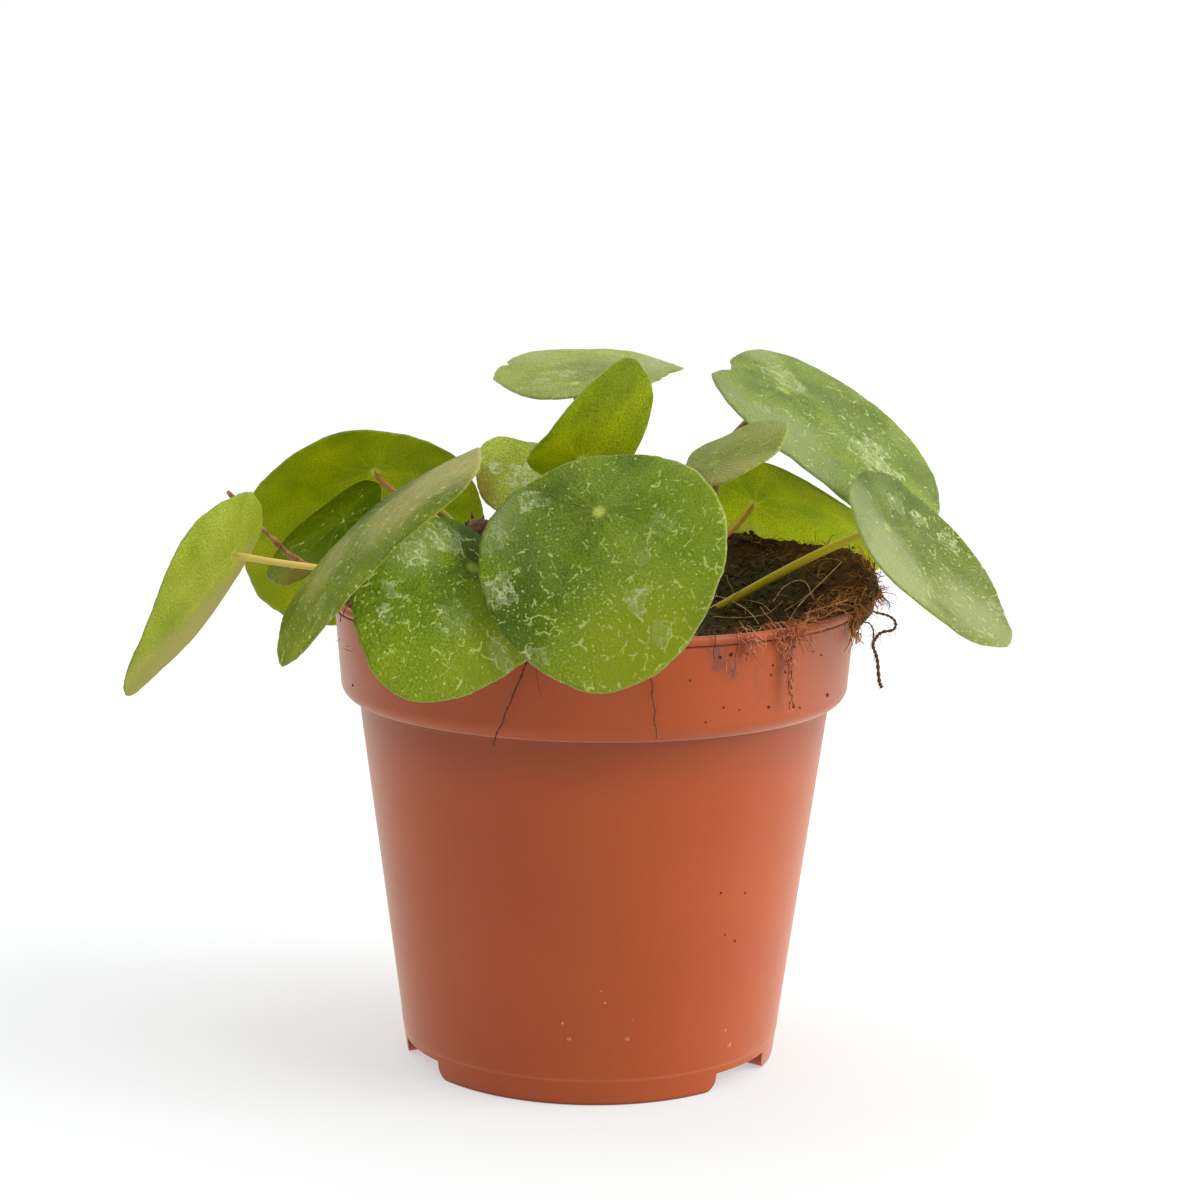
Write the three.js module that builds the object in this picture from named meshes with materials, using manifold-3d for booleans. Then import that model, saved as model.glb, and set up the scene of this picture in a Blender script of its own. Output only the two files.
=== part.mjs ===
import * as THREE from 'three';
import { mergeVertices } from 'three/addons/utils/BufferGeometryUtils.js';
import Module from 'manifold-3d';

const wasm = await Module();
wasm.setup();

// A pilea with round leaves, each carried near its middle by a thin stalk, in a plastic
// nursery pot. Millimetres, +Z up. The parts are laid out around the pot's axis with the
// front towards -Y, and the whole plant is centred over its own box at the end.

// Gap left between pieces that touch
const GAP = 0.3;

// Pot: tapered body, stepped-out band with a rounded lower corner, beaded lip
const POT_HEIGHT = 107.3;
const BASE_RADIUS = 43.1;
const SHOULDER_RADIUS = 54.2;
const SHOULDER_HEIGHT = 83.4;
const BAND_CORNER = 4;
const BAND_CORNER_HEIGHT = 88.2;
const BAND_RADIUS = 58.4;
const LIP_RADIUS = 60.5;
const LIP_BEAD = 2;
const LIP_STEP = 0.65;
const WALL = 1.2;
const FLOOR_THICKNESS = 1.5;
const POT_SEGMENTS = 48;

// Feet: one ring parted by three notches, so that water runs out
const FOOT_HEIGHT = 4;
const FOOT_WIDTH = 5;
const FOOT_EDGE = 0.5;
const NOTCH_AZIMUTHS = [-36.8, 84.6, -154];
const NOTCH_WIDTH = 18.6;
const NOTCH_CORNER = 3;
const NOTCH_HEIGHT = 4.3;
const DRAIN_RADIUS = 3.4;
const DRAIN_CIRCLE = 28;
const DRAIN_COUNT = 6;

// Soil: a root ball that leans up to the back right and spills over the rim there
const SOIL_LEVEL = 106;
const SOIL_RISE = 9;
const SOIL_RISE_AZIMUTH = 53;
const SOIL_ROUGHNESS = 0.5;
const SOIL_EDGE_RADIUS = 58.7;
const SOIL_CORE_HEIGHT = 92;
const CLUMP_AZIMUTH = 12;
const CLUMP_SPREAD = 34;
const CLUMP_REACH = 6;
const CLUMP_RISE = 3;
const CLUMP_DROOP = 5;
const CLUMP_UNDERSIDE = 103.6;
const CLUMP_UNDERSIDE_SLOPE = 1.2;
const HOLLOW_MIDDLE = [47, 29];
const HOLLOW_SPREAD = 13;
const HOLLOW_DEPTH = 2.2;

// Roots that hang over the rim: points along each, then its radius
const ROOTS = [
  { path: [[56, 1, 104], [60, 0, 109.6], [66, -1, 105], [69.4, -2, 102.6], [66.6, -2, 98.6],
    [64.4, -2, 94.4], [66.4, -2, 86.8]], radius: 0.6 },
  { path: [[34, -38, 102], [39, -44, 108.3], [41.5, -47.6, 107.4], [42.4, -49.2, 99],
    [43.4, -49.4, 90.8]], radius: 0.6 },
];

// Stems: upright and woody, ringed by old leaf scars, standing in holes in the soil
const STEMS = {
  stem_old: { foot: [-22, 5, 82], head: [-27, 0, 124.5], radius: 3.5, scar: 5, bark: 0x4a3526 },
  stem_young: { foot: [14, -2, 86], head: [16, 0, 123], radius: 2.8, scar: 6, bark: 0x6b6a34 },
};
const SCAR_HEIGHT = 0.45;
const STEM_SIDES = 12;

// Leaves. at: the pale mark over the stalk. faces: azimuth and elevation that the upper
// face looks to. spin: turn of the tip from straight downhill. half: half the blade's
// length. bend: rise across, along and in twist at the edge. lobes: count, depth and turn
// of the margin's own lobes. stalk: the stem that carries it, the height where it joins,
// how far it runs straight off the blade and off the stem, how steeply it leaves the stem,
// and which way it leaves the blade where that is not square.
const LEAVES = {
  far_left: { at: [-83, -8, 117.1], faces: [167, 21], spin: 19, half: 26.5, bend: [4, 3.7, 2.7],
    lobes: [[3, 0.017, -172], [4, 0.008, -53]],
    stalk: { on: 'stem_old', height: 108.2, off: 16, out: 14, climb: 12, leave: [-12, -10] } },
  back_left: { at: [-54.5, 42.1, 131.4], faces: [101, 44], spin: 10, half: 31.2,
    bend: [-6.5, -6.7, 2.2], lobes: [[3, 0.012, 51], [4, 0.016, -64]],
    stalk: { on: 'stem_old', height: 117.5, off: 5, out: 16, climb: 18 } },
  inner_left: { at: [-60.4, 21, 121.4], faces: [-138, 51], spin: -74.5, half: 18,
    bend: [-2.2, -3.2, -0.9], lobes: [[3, 0.004, 152], [4, 0.017, 25]],
    stalk: { on: 'stem_old', height: 113, off: 5, out: 12, climb: 20 } },
  edge_left: { at: [-37.8, -54.6, 139.4], faces: [-177.7, 57.6], spin: 14.5, half: 29.5,
    bend: [-4.9, -6.8, 2.3], lobes: [[2, 0.028, 49], [3, 0.038, 161], [4, 0.055, -95]],
    stalk: { on: 'stem_old', height: 116, off: 7, out: 16, climb: 25 } },
  front_left: { at: [-25.3, -57, 121.7], faces: [-53, 42], spin: -52, half: 20.5, bend: [-0.9, -6, 0],
    lobes: [[3, 0.005, 142], [4, 0.026, -48]],
    stalk: { on: 'stem_old', height: 110.5, off: 8, out: 18, climb: 12 } },
  front: { at: [0.6, -60, 134], faces: [-107, 37], spin: 17, half: 26.4, bend: [3.5, -3, -2.6],
    lobes: [[3, 0.012, -173], [4, 0.004, 73]],
    stalk: { on: 'stem_young', height: 113, off: 12, out: 22, climb: 20 } },
  upright: { at: [-4, -22, 141.4], faces: [124, 45], spin: -170, half: 16, bend: [0, 4.1, -4.1],
    lobes: [[3, 0.005, -179], [4, 0.017, 96]],
    stalk: { on: 'stem_young', height: 117, off: 9, out: 14, climb: 30 } },
  top: { at: [-5.5, 26, 154.6], faces: [-116, 78], spin: -169, half: 22.3, bend: [0.6, -0.2, -1.6],
    lobes: [[3, 0.005, -108], [4, 0.015, -44]],
    stalk: { on: 'stem_young', height: 120.5, off: 12, out: 14, climb: 45 } },
  gloss: { at: [-14.5, 4, 139], faces: [-73, 58], spin: -41, half: 11.4, bend: [0.6, -2.6, 1],
    lobes: [[3, 0.004, -156], [4, 0.012, 71]],
    stalk: { on: 'stem_old', height: 121, off: 7, out: 6, climb: 35 } },
  high_right: { at: [44.3, 20, 153.8], faces: [-35.4, 58], spin: 13.8, half: 31.8,
    bend: [-0.7, -3.6, -0.4], lobes: [[3, 0.016, 159], [4, 0.041, -176]],
    stalk: { on: 'stem_young', height: 118.5, off: 10, out: 24, climb: 62, leave: [-137, -22] } },
  small_right: { at: [25.5, -24, 140.8], faces: [-144, 59], spin: 158, half: 12.7, bend: [-0.4, 0.2, 0.8],
    lobes: [[4, 0.009, -74]],
    stalk: { on: 'stem_young', height: 115, off: 9, out: 8, climb: 35 } },
  back_right: { at: [39.3, 49, 123.9], faces: [61, 40], spin: -51, half: 24.3, bend: [-4.6, 1.2, -1.7],
    lobes: [[3, 0.005, 173], [4, 0.01, -6]],
    stalk: { on: 'stem_young', height: 111, off: 10, out: 14, climb: 8 } },
  far_right: { at: [64.7, -22, 126.8], faces: [-27, 38], spin: 17, half: 24.7, bend: [2.4, 2.7, 0.7],
    lobes: [[3, 0.019, -162], [4, 0.013, 117]],
    stalk: { into: [25, -12.6, 103.4], off: 8, out: 26, climb: 33, leave: [167, -13] } },
};
const BLADE_ASPECT = 0.98;
const BLADE_THICKNESS = 0.9;
const BLADE_RINGS = 4;
const BLADE_SEGMENTS = 28;
const MARK_OFFSET = 0.45;
const MARGIN_SCALLOPS = 7;
const MARGIN_SCALLOP_DEPTH = 0.006;
const MARGIN_WAVE = 0.35;
const STALK_SEAT = 0.45;
const STALK_RADIUS = 1;
const STALK_SIDES = 6;
const STALK_STEPS = 10;

// Leafless dead stalk on the left
const DEAD_STALK_PATH = [[-25, 3, 109.5], [-46, 5.5, 108.9], [-67, 8, 112.3], [-79, 17, 119.7],
  [-87.4, 20, 128.1]];
const DEAD_STALK_RADIUS = 0.6;

const UP = new THREE.Vector3(0, 0, 1);

function radians(degrees) {
  return degrees * Math.PI / 180;
}

function smoothstep(low, high, value) {
  const t = THREE.MathUtils.clamp((value - low) / (high - low), 0, 1);
  return t * t * (3 - 2 * t);
}

function direction(azimuth, elevation) {
  const flat = Math.cos(radians(elevation));
  return new THREE.Vector3(
    flat * Math.cos(radians(azimuth)),
    flat * Math.sin(radians(azimuth)),
    Math.sin(radians(elevation)),
  );
}

// Turn a closed geometry into a solid that can be cut and joined
function solidFrom(geometry) {
  const bare = geometry.clone();
  bare.deleteAttribute('normal');
  bare.deleteAttribute('uv');
  const merged = mergeVertices(bare, 1e-4);
  const corners = Array.from(merged.index.array);
  const triangles = [];
  for (let i = 0; i < corners.length; i += 3) {
    const [a, b, c] = corners.slice(i, i + 3);
    if (a !== b && b !== c && c !== a) triangles.push(a, b, c);
  }
  return new wasm.Manifold(new wasm.Mesh({
    numProp: 3,
    vertProperties: merged.attributes.position.array,
    triVerts: new Uint32Array(triangles),
  }));
}

function geometryFrom(solid) {
  const mesh = solid.getMesh();
  const geometry = new THREE.BufferGeometry();
  geometry.setAttribute('position', new THREE.BufferAttribute(mesh.vertProperties, 3));
  geometry.setIndex(new THREE.BufferAttribute(mesh.triVerts, 1));
  geometry.computeVertexNormals();
  return geometry;
}

// Closed body between an upper and a lower face, both given over a unit disc by radius and
// angle, and both split into the same triangles
function slab(rings, segments, upper, lower) {
  const points = [];
  const triangles = [];
  const ringPoint = (side, ring, step) => side + 1 + (ring - 1) * segments + step % segments;
  for (const face of [upper, lower]) {
    points.push(face(0, 0));
    for (let ring = 1; ring <= rings; ring += 1) {
      for (let step = 0; step < segments; step += 1) {
        points.push(face(ring / rings, 2 * Math.PI * step / segments));
      }
    }
  }
  const below = points.length / 2;
  const addFace = (side, a, b, c) => {
    if (side === 0) triangles.push(a, b, c);
    else triangles.push(a, c, b);
  };
  for (const side of [0, below]) {
    for (let step = 0; step < segments; step += 1) {
      addFace(side, side, ringPoint(side, 1, step), ringPoint(side, 1, step + 1));
      for (let ring = 1; ring < rings; ring += 1) {
        const inner = ringPoint(side, ring, step);
        const innerNext = ringPoint(side, ring, step + 1);
        const outer = ringPoint(side, ring + 1, step);
        const outerNext = ringPoint(side, ring + 1, step + 1);
        addFace(side, inner, outer, outerNext);
        addFace(side, inner, outerNext, innerNext);
      }
    }
  }
  for (let step = 0; step < segments; step += 1) {
    const top = ringPoint(0, rings, step);
    const topNext = ringPoint(0, rings, step + 1);
    const bottom = ringPoint(below, rings, step);
    const bottomNext = ringPoint(below, rings, step + 1);
    triangles.push(top, bottom, bottomNext, top, bottomNext, topNext);
  }
  const geometry = new THREE.BufferGeometry().setFromPoints(points);
  geometry.setIndex(triangles);
  geometry.computeVertexNormals();
  return geometry;
}

// Round rod along a curve
function rod(curve, radius, sides, steps) {
  const section = new THREE.Shape().absarc(0, 0, radius, 0, 2 * Math.PI);
  return new THREE.ExtrudeGeometry(section, { extrudePath: curve, curveSegments: sides / 2, steps });
}

// Solid of revolution about +Z from points of radius and height
function turned(points, segments) {
  return new THREE.LatheGeometry(points, segments).rotateX(Math.PI / 2);
}

function bodyRadius(height) {
  return THREE.MathUtils.mapLinear(height, 0, SHOULDER_HEIGHT, BASE_RADIUS, SHOULDER_RADIUS);
}

// Half section of the pot, grown by a margin where the soil has to stay clear of it
function potSection(margin) {
  const footInner = BASE_RADIUS - FOOT_WIDTH;
  const floorTop = FOOT_HEIGHT + FLOOR_THICKNESS;
  const cornerCentre = BAND_RADIUS - BAND_CORNER;
  const neckRadius = LIP_RADIUS - LIP_STEP;
  const beadHeight = POT_HEIGHT - LIP_BEAD;
  const inner = WALL + margin;
  const section = new THREE.Path();
  section.moveTo(0, FOOT_HEIGHT - margin);
  section.lineTo(footInner - margin, FOOT_HEIGHT - margin);
  section.lineTo(footInner - margin, FOOT_EDGE - margin);
  section.lineTo(footInner + FOOT_EDGE, -margin);
  section.lineTo(BASE_RADIUS - FOOT_EDGE, -margin);
  section.lineTo(bodyRadius(FOOT_EDGE) + margin, FOOT_EDGE);
  section.lineTo(SHOULDER_RADIUS + margin, SHOULDER_HEIGHT - margin);
  section.absarc(cornerCentre, BAND_CORNER_HEIGHT, BAND_CORNER + margin, -Math.PI / 2, 0, false);
  section.lineTo(neckRadius + margin, beadHeight - LIP_STEP);
  section.lineTo(LIP_RADIUS + margin, beadHeight);
  section.lineTo(LIP_RADIUS + margin, POT_HEIGHT - LIP_STEP);
  section.lineTo(LIP_RADIUS - LIP_STEP + margin, POT_HEIGHT + margin);
  section.lineTo(LIP_RADIUS - inner, POT_HEIGHT + margin);
  section.lineTo(neckRadius - inner, beadHeight);
  section.absarc(cornerCentre, BAND_CORNER_HEIGHT, BAND_CORNER - inner, 0, -Math.PI / 2, true);
  section.lineTo(SHOULDER_RADIUS - inner, BAND_CORNER_HEIGHT - BAND_CORNER + inner);
  section.lineTo(bodyRadius(floorTop) - inner, floorTop + WALL + margin);
  section.lineTo(bodyRadius(floorTop) - inner - WALL, floorTop + margin);
  section.lineTo(0, floorTop + margin);
  return section.getPoints(2);
}

function notch(azimuth) {
  const half = NOTCH_WIDTH / 2;
  const shape = new THREE.Shape();
  shape.moveTo(half + NOTCH_CORNER, -FOOT_HEIGHT);
  shape.lineTo(half + NOTCH_CORNER, 0);
  shape.absarc(half + NOTCH_CORNER, NOTCH_CORNER, NOTCH_CORNER, -Math.PI / 2, -Math.PI, true);
  shape.lineTo(half, NOTCH_HEIGHT);
  shape.lineTo(-half, NOTCH_HEIGHT);
  shape.absarc(-half - NOTCH_CORNER, NOTCH_CORNER, NOTCH_CORNER, 0, -Math.PI / 2, true);
  shape.lineTo(-half - NOTCH_CORNER, -FOOT_HEIGHT);
  const outward = direction(azimuth, 0);
  const across = new THREE.Vector3().crossVectors(UP, outward);
  const start = outward.clone().multiplyScalar(BASE_RADIUS - 2 * FOOT_WIDTH);
  const geometry = new THREE.ExtrudeGeometry(shape, {
    depth: 3 * FOOT_WIDTH,
    bevelEnabled: false,
    curveSegments: 3,
  });
  return geometry.applyMatrix4(new THREE.Matrix4().makeBasis(across, UP, outward).setPosition(start));
}

function drain(x, y) {
  return new THREE.CylinderGeometry(DRAIN_RADIUS, DRAIN_RADIUS, 4 * FLOOR_THICKNESS, 12)
    .rotateX(Math.PI / 2)
    .translate(x, y, FOOT_HEIGHT);
}

function potSolid() {
  let pot = solidFrom(turned(potSection(0), POT_SEGMENTS));
  for (const azimuth of NOTCH_AZIMUTHS) pot = pot.subtract(solidFrom(notch(azimuth)));
  pot = pot.subtract(solidFrom(drain(0, 0)));
  for (let i = 0; i < DRAIN_COUNT; i += 1) {
    const place = direction(NOTCH_AZIMUTHS[0] + 360 * i / DRAIN_COUNT, 0).multiplyScalar(DRAIN_CIRCLE);
    pot = pot.subtract(solidFrom(drain(place.x, place.y)));
  }
  return pot;
}

// How much of the clump stands at an azimuth, from 0 to 1
function clumpShare(azimuth) {
  const turn = Math.atan2(Math.sin(azimuth - radians(CLUMP_AZIMUTH)), Math.cos(azimuth - radians(CLUMP_AZIMUTH)));
  return Math.exp(-((turn / radians(CLUMP_SPREAD)) ** 2));
}

function soilRoughness(x, y) {
  return SOIL_ROUGHNESS * (Math.sin(0.31 * x + 1.1) * Math.cos(0.27 * y) + Math.sin(0.53 * y - 0.41 * x));
}

function soilTop(radius, azimuth) {
  const x = radius * Math.cos(azimuth);
  const y = radius * Math.sin(azimuth);
  const rise = direction(SOIL_RISE_AZIMUTH, 0);
  const slope = (x * rise.x + y * rise.y) / LIP_RADIUS;
  const edge = smoothstep(0.6, 1, radius / LIP_RADIUS);
  const past = Math.max(0, radius - LIP_RADIUS) / CLUMP_REACH;
  const fromHollow = Math.hypot(x - HOLLOW_MIDDLE[0], y - HOLLOW_MIDDLE[1]) / HOLLOW_SPREAD;
  return SOIL_LEVEL + SOIL_RISE * slope + CLUMP_RISE * clumpShare(azimuth) * edge
    + soilRoughness(x, y) - CLUMP_DROOP * past ** 2 - HOLLOW_DEPTH * Math.exp(-(fromHollow ** 2));
}

// Upper soil: a disc whose edge runs out over the rim at the clump and hangs down there
function soilCrown() {
  const reach = (azimuth) => SOIL_EDGE_RADIUS + CLUMP_REACH * smoothstep(0.25, 0.8, clumpShare(azimuth));
  const place = (radius, azimuth, height) => new THREE.Vector3(
    radius * Math.cos(azimuth),
    radius * Math.sin(azimuth),
    height,
  );
  const upper = (share, azimuth) => {
    const radius = share * reach(azimuth);
    return place(radius, azimuth, soilTop(radius, azimuth));
  };
  const lower = (share, azimuth) => {
    const radius = share * reach(azimuth);
    const outside = smoothstep(SOIL_EDGE_RADIUS - 4, SOIL_EDGE_RADIUS, radius);
    const hanging = CLUMP_UNDERSIDE + CLUMP_UNDERSIDE_SLOPE * (radius - LIP_RADIUS)
      + 0.6 * Math.sin(9 * azimuth) + 0.4 * Math.sin(17 * azimuth + 1);
    return place(radius, azimuth, THREE.MathUtils.lerp(SOIL_CORE_HEIGHT, hanging, outside));
  };
  return slab(9, 40, upper, lower);
}

// Soil inside the pot, up to where the crown takes over
function soilCore() {
  const floorTop = FOOT_HEIGHT + FLOOR_THICKNESS;
  const mid = WALL / 2;
  const points = [
    new THREE.Vector2(0, floorTop - mid),
    new THREE.Vector2(bodyRadius(floorTop) - mid, floorTop - mid),
    new THREE.Vector2(SHOULDER_RADIUS - mid, SHOULDER_HEIGHT),
    new THREE.Vector2(BAND_RADIUS - BAND_CORNER, BAND_CORNER_HEIGHT - BAND_CORNER + mid),
    new THREE.Vector2(BAND_RADIUS - mid, BAND_CORNER_HEIGHT),
    new THREE.Vector2(BAND_RADIUS - mid, SOIL_CORE_HEIGHT + GAP),
    new THREE.Vector2(0, SOIL_CORE_HEIGHT + GAP),
  ];
  return turned(points, POT_SEGMENTS);
}

function soilSolid(holes) {
  let soil = solidFrom(soilCore()).add(solidFrom(soilCrown()));
  soil = soil.subtract(solidFrom(turned(potSection(GAP), POT_SEGMENTS)));
  for (const { path, radius } of ROOTS) {
    const curve = new THREE.CatmullRomCurve3(path.map((point) => new THREE.Vector3(...point)));
    soil = soil.add(solidFrom(rod(curve, radius, 6, 3 * path.length)));
  }
  for (const hole of holes) soil = soil.subtract(hole);
  return soil;
}

// Stem grown by a margin: foot and head rounded off, a ring at each old leaf scar
function stemGeometry({ foot, head, radius, scar }, margin) {
  const start = new THREE.Vector3(...foot);
  const axis = new THREE.Vector3(...head).sub(start);
  const length = axis.length();
  const points = [new THREE.Vector2(0, -margin)];
  points.push(new THREE.Vector2(radius + margin, 0.15 * radius - margin));
  for (let along = scar; along < length - 1.4 * radius; along += scar) {
    points.push(new THREE.Vector2(radius + margin, along - SCAR_HEIGHT - margin));
    points.push(new THREE.Vector2(radius + SCAR_HEIGHT + margin, along));
    points.push(new THREE.Vector2(radius + margin, along + SCAR_HEIGHT + margin));
  }
  points.push(new THREE.Vector2(0.9 * radius + margin, length - 0.8 * radius + margin));
  points.push(new THREE.Vector2(0.5 * radius + margin, length - 0.2 * radius + margin));
  points.push(new THREE.Vector2(0, length + margin));
  const turn = new THREE.Quaternion().setFromUnitVectors(UP, axis.normalize());
  return turned(points, STEM_SIDES).applyQuaternion(turn).translate(...foot);
}

function stemAxisAt({ foot, head }, height) {
  const share = (height - foot[2]) / (head[2] - foot[2]);
  return new THREE.Vector3(...foot).lerp(new THREE.Vector3(...head), share);
}

// Axes of a leaf: across the blade, towards its tip, and out of its upper face
function leafAxes({ faces, spin }) {
  const normal = direction(...faces);
  const downhill = UP.clone().negate().addScaledVector(normal, normal.z).normalize();
  const tip = downhill.applyAxisAngle(normal, radians(spin));
  const across = new THREE.Vector3().crossVectors(tip, normal);
  return { across, tip, normal };
}

// Round blade with shallow lobes and waves along its margin, curved by its bend
function bladeGeometry(leaf, order) {
  const { across, tip, normal } = leafAxes(leaf);
  const origin = new THREE.Vector3(...leaf.at);
  const [bendAcross, bendAlong, twist] = leaf.bend;
  const phase = 2.4 * order;
  const facePoint = (x, y, rise) => origin.clone()
    .addScaledVector(across, BLADE_ASPECT * leaf.half * x)
    .addScaledVector(tip, leaf.half * (y + MARK_OFFSET))
    .addScaledVector(normal, rise);
  const spot = (share, angle) => {
    let ripple = MARGIN_SCALLOP_DEPTH * Math.cos(MARGIN_SCALLOPS * angle + phase);
    for (const [count, depth, turn] of leaf.lobes) ripple += depth * Math.cos(count * angle + radians(turn));
    const reach = share + ripple * share ** 3;
    return [reach * Math.sin(angle), -reach * Math.cos(angle)];
  };
  const riseAt = (x, y, share, angle) => bendAcross * x * x + bendAlong * (y + MARK_OFFSET) ** 2
    + twist * x * (y + MARK_OFFSET) + MARGIN_WAVE * share ** 4 * Math.cos(5 * angle + phase);
  const upper = (share, angle) => {
    const [x, y] = spot(share, angle);
    return facePoint(x, y, riseAt(x, y, share, angle));
  };
  const lower = (share, angle) => {
    const [x, y] = spot(share, angle);
    const slopeAcross = (2 * bendAcross * x + twist * (y + MARK_OFFSET)) / (BLADE_ASPECT * leaf.half);
    const slopeAlong = (2 * bendAlong * (y + MARK_OFFSET) + twist * x) / leaf.half;
    const out = normal.clone()
      .addScaledVector(across, -slopeAcross)
      .addScaledVector(tip, -slopeAlong)
      .normalize();
    return upper(share, angle).addScaledVector(out, -BLADE_THICKNESS);
  };
  return slab(BLADE_RINGS, BLADE_SEGMENTS, upper, lower);
}

// Stalk from under a blade's mark to the middle of its stem, or down into the soil
function stalkCurve(leaf) {
  const { normal } = leafAxes(leaf);
  const { stalk } = leaf;
  const leaving = stalk.leave ? direction(...stalk.leave) : normal.clone().negate();
  const tilt = STALK_RADIUS * Math.sin(leaving.angleTo(normal));
  const head = new THREE.Vector3(...leaf.at).addScaledVector(normal, -BLADE_THICKNESS - STALK_SEAT - tilt);
  const foot = stalk.into ? new THREE.Vector3(...stalk.into) : stemAxisAt(STEMS[stalk.on], stalk.height);
  const azimuth = Math.atan2(head.y - foot.y, head.x - foot.x) * 180 / Math.PI;
  const climbing = direction(azimuth, stalk.climb);
  return new THREE.CubicBezierCurve3(
    head,
    head.clone().addScaledVector(leaving, stalk.off),
    foot.clone().addScaledVector(climbing, stalk.out),
    foot,
  );
}

const PLASTIC = new THREE.MeshStandardMaterial({ color: 0xb35a3a, roughness: 0.45, metalness: 0 });
const PEAT = new THREE.MeshStandardMaterial({ color: 0x3a2a1c, roughness: 1, metalness: 0 });
const LEAF = new THREE.MeshStandardMaterial({ color: 0x4c7d2c, roughness: 0.4, metalness: 0 });
const STALK = new THREE.MeshStandardMaterial({ color: 0x8a8a3a, roughness: 0.5, metalness: 0 });
const DRIED = new THREE.MeshStandardMaterial({ color: 0x5a4030, roughness: 0.9, metalness: 0 });

const plant = new THREE.Group();

function addPiece(name, geometry, material) {
  const mesh = new THREE.Mesh(geometry, material);
  mesh.name = name;
  plant.add(mesh);
}

const soilHoles = [];
const grownStems = {};
for (const [name, stem] of Object.entries(STEMS)) {
  const bark = new THREE.MeshStandardMaterial({ color: stem.bark, roughness: 0.9, metalness: 0 });
  addPiece(name, stemGeometry(stem, 0), bark);
  grownStems[name] = solidFrom(stemGeometry(stem, GAP));
  soilHoles.push(grownStems[name]);
}

Object.entries(LEAVES).forEach(([name, leaf], order) => {
  addPiece(`leaf_${name}`, bladeGeometry(leaf, order), LEAF);
  const curve = stalkCurve(leaf);
  let stalk = solidFrom(rod(curve, STALK_RADIUS, STALK_SIDES, STALK_STEPS));
  if (leaf.stalk.into) {
    const buried = new THREE.CatmullRomCurve3(curve.getPoints(STALK_STEPS));
    buried.points.push(curve.getPoint(1).addScaledVector(curve.getTangent(1), GAP));
    soilHoles.push(solidFrom(rod(buried, STALK_RADIUS + GAP, STALK_SIDES, 2 * STALK_STEPS)));
  } else {
    stalk = stalk.subtract(grownStems[leaf.stalk.on]);
  }
  addPiece(`stalk_${name}`, geometryFrom(stalk), STALK);
});

const deadCurve = new THREE.CatmullRomCurve3(DEAD_STALK_PATH.map((point) => new THREE.Vector3(...point)));
const deadStalk = solidFrom(rod(deadCurve, DEAD_STALK_RADIUS, STALK_SIDES, 2 * STALK_STEPS));
addPiece('dead_stalk', geometryFrom(deadStalk.subtract(grownStems.stem_old)), DRIED);
addPiece('pot', geometryFrom(potSolid()), PLASTIC);
addPiece('soil', geometryFrom(soilSolid(soilHoles)), PEAT);

const box = new THREE.Box3().setFromObject(plant);
const middle = box.getCenter(new THREE.Vector3());
plant.position.set(-middle.x, -middle.y, -box.min.z);

export default plant;
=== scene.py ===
import math
import random

import bmesh
import bpy
import numpy as np
from mathutils import Euler, Matrix, Vector, noise


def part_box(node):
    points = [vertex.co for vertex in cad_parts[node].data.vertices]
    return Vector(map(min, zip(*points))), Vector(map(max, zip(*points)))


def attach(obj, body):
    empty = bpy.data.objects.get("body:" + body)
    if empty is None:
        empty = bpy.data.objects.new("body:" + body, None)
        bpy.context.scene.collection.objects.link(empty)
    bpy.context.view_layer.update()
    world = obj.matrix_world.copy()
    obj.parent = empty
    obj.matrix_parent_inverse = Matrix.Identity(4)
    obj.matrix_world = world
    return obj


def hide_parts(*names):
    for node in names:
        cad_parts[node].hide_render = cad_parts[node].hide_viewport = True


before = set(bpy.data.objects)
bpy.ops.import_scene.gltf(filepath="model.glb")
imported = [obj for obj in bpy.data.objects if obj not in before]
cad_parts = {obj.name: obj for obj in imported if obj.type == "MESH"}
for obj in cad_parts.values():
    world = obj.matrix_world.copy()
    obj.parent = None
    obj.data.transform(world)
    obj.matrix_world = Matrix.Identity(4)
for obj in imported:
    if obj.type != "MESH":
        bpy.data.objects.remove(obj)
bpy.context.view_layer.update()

# A pilea in a nursery pot. Places are in millimetres from the pot's axis at floor level,
# with the front towards -Y, and become metres in the row's frame when a mesh is made.
MM = 0.001
POT_LOW, POT_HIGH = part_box("pot")
POT_AXIS = Vector(((POT_LOW.x + POT_HIGH.x) / 2, (POT_LOW.y + POT_HIGH.y) / 2, 0))

# Camera: where the photograph was taken from
CAMERA_PLACE = (1.1, -584.8, 196.6)
CAMERA_PITCH = 8.79
CAMERA_ROLL = 0.74
CAMERA_LENS = 76.97
CAMERA_SENSOR = 36
CAMERA_CLIP = (0.01, 20)

# Light: the white wall behind, the dimmer room in front, the bright ceiling, and the key
# light with the azimuth and elevation that it comes from and its width in degrees
WALL_GLOW = 1.02
ROOM_GLOW = 0.4
CEILING_GLOW = 0.5
KEY_FROM = (-18, 32)
KEY_WIDTH = 42
KEY_POWER = 2.25
FLOOR_GLOW = 0.475
SOFTBOXES = (("softbox_right", 10, 5), ("softbox_left", 148, 2.8))
SOFTBOX_SIZE = 0.6
SOFTBOX_DISTANCE = 0.95
SOFTBOX_HEIGHT = 9
SOFTBOX_AIM = Vector((0, 0, 0.08))
FLOOR_REACH = 30
FLOOR_GREY = (0.385, 0.4, 0.402, 1)
WHITE = (1, 1, 1, 1)

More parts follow.
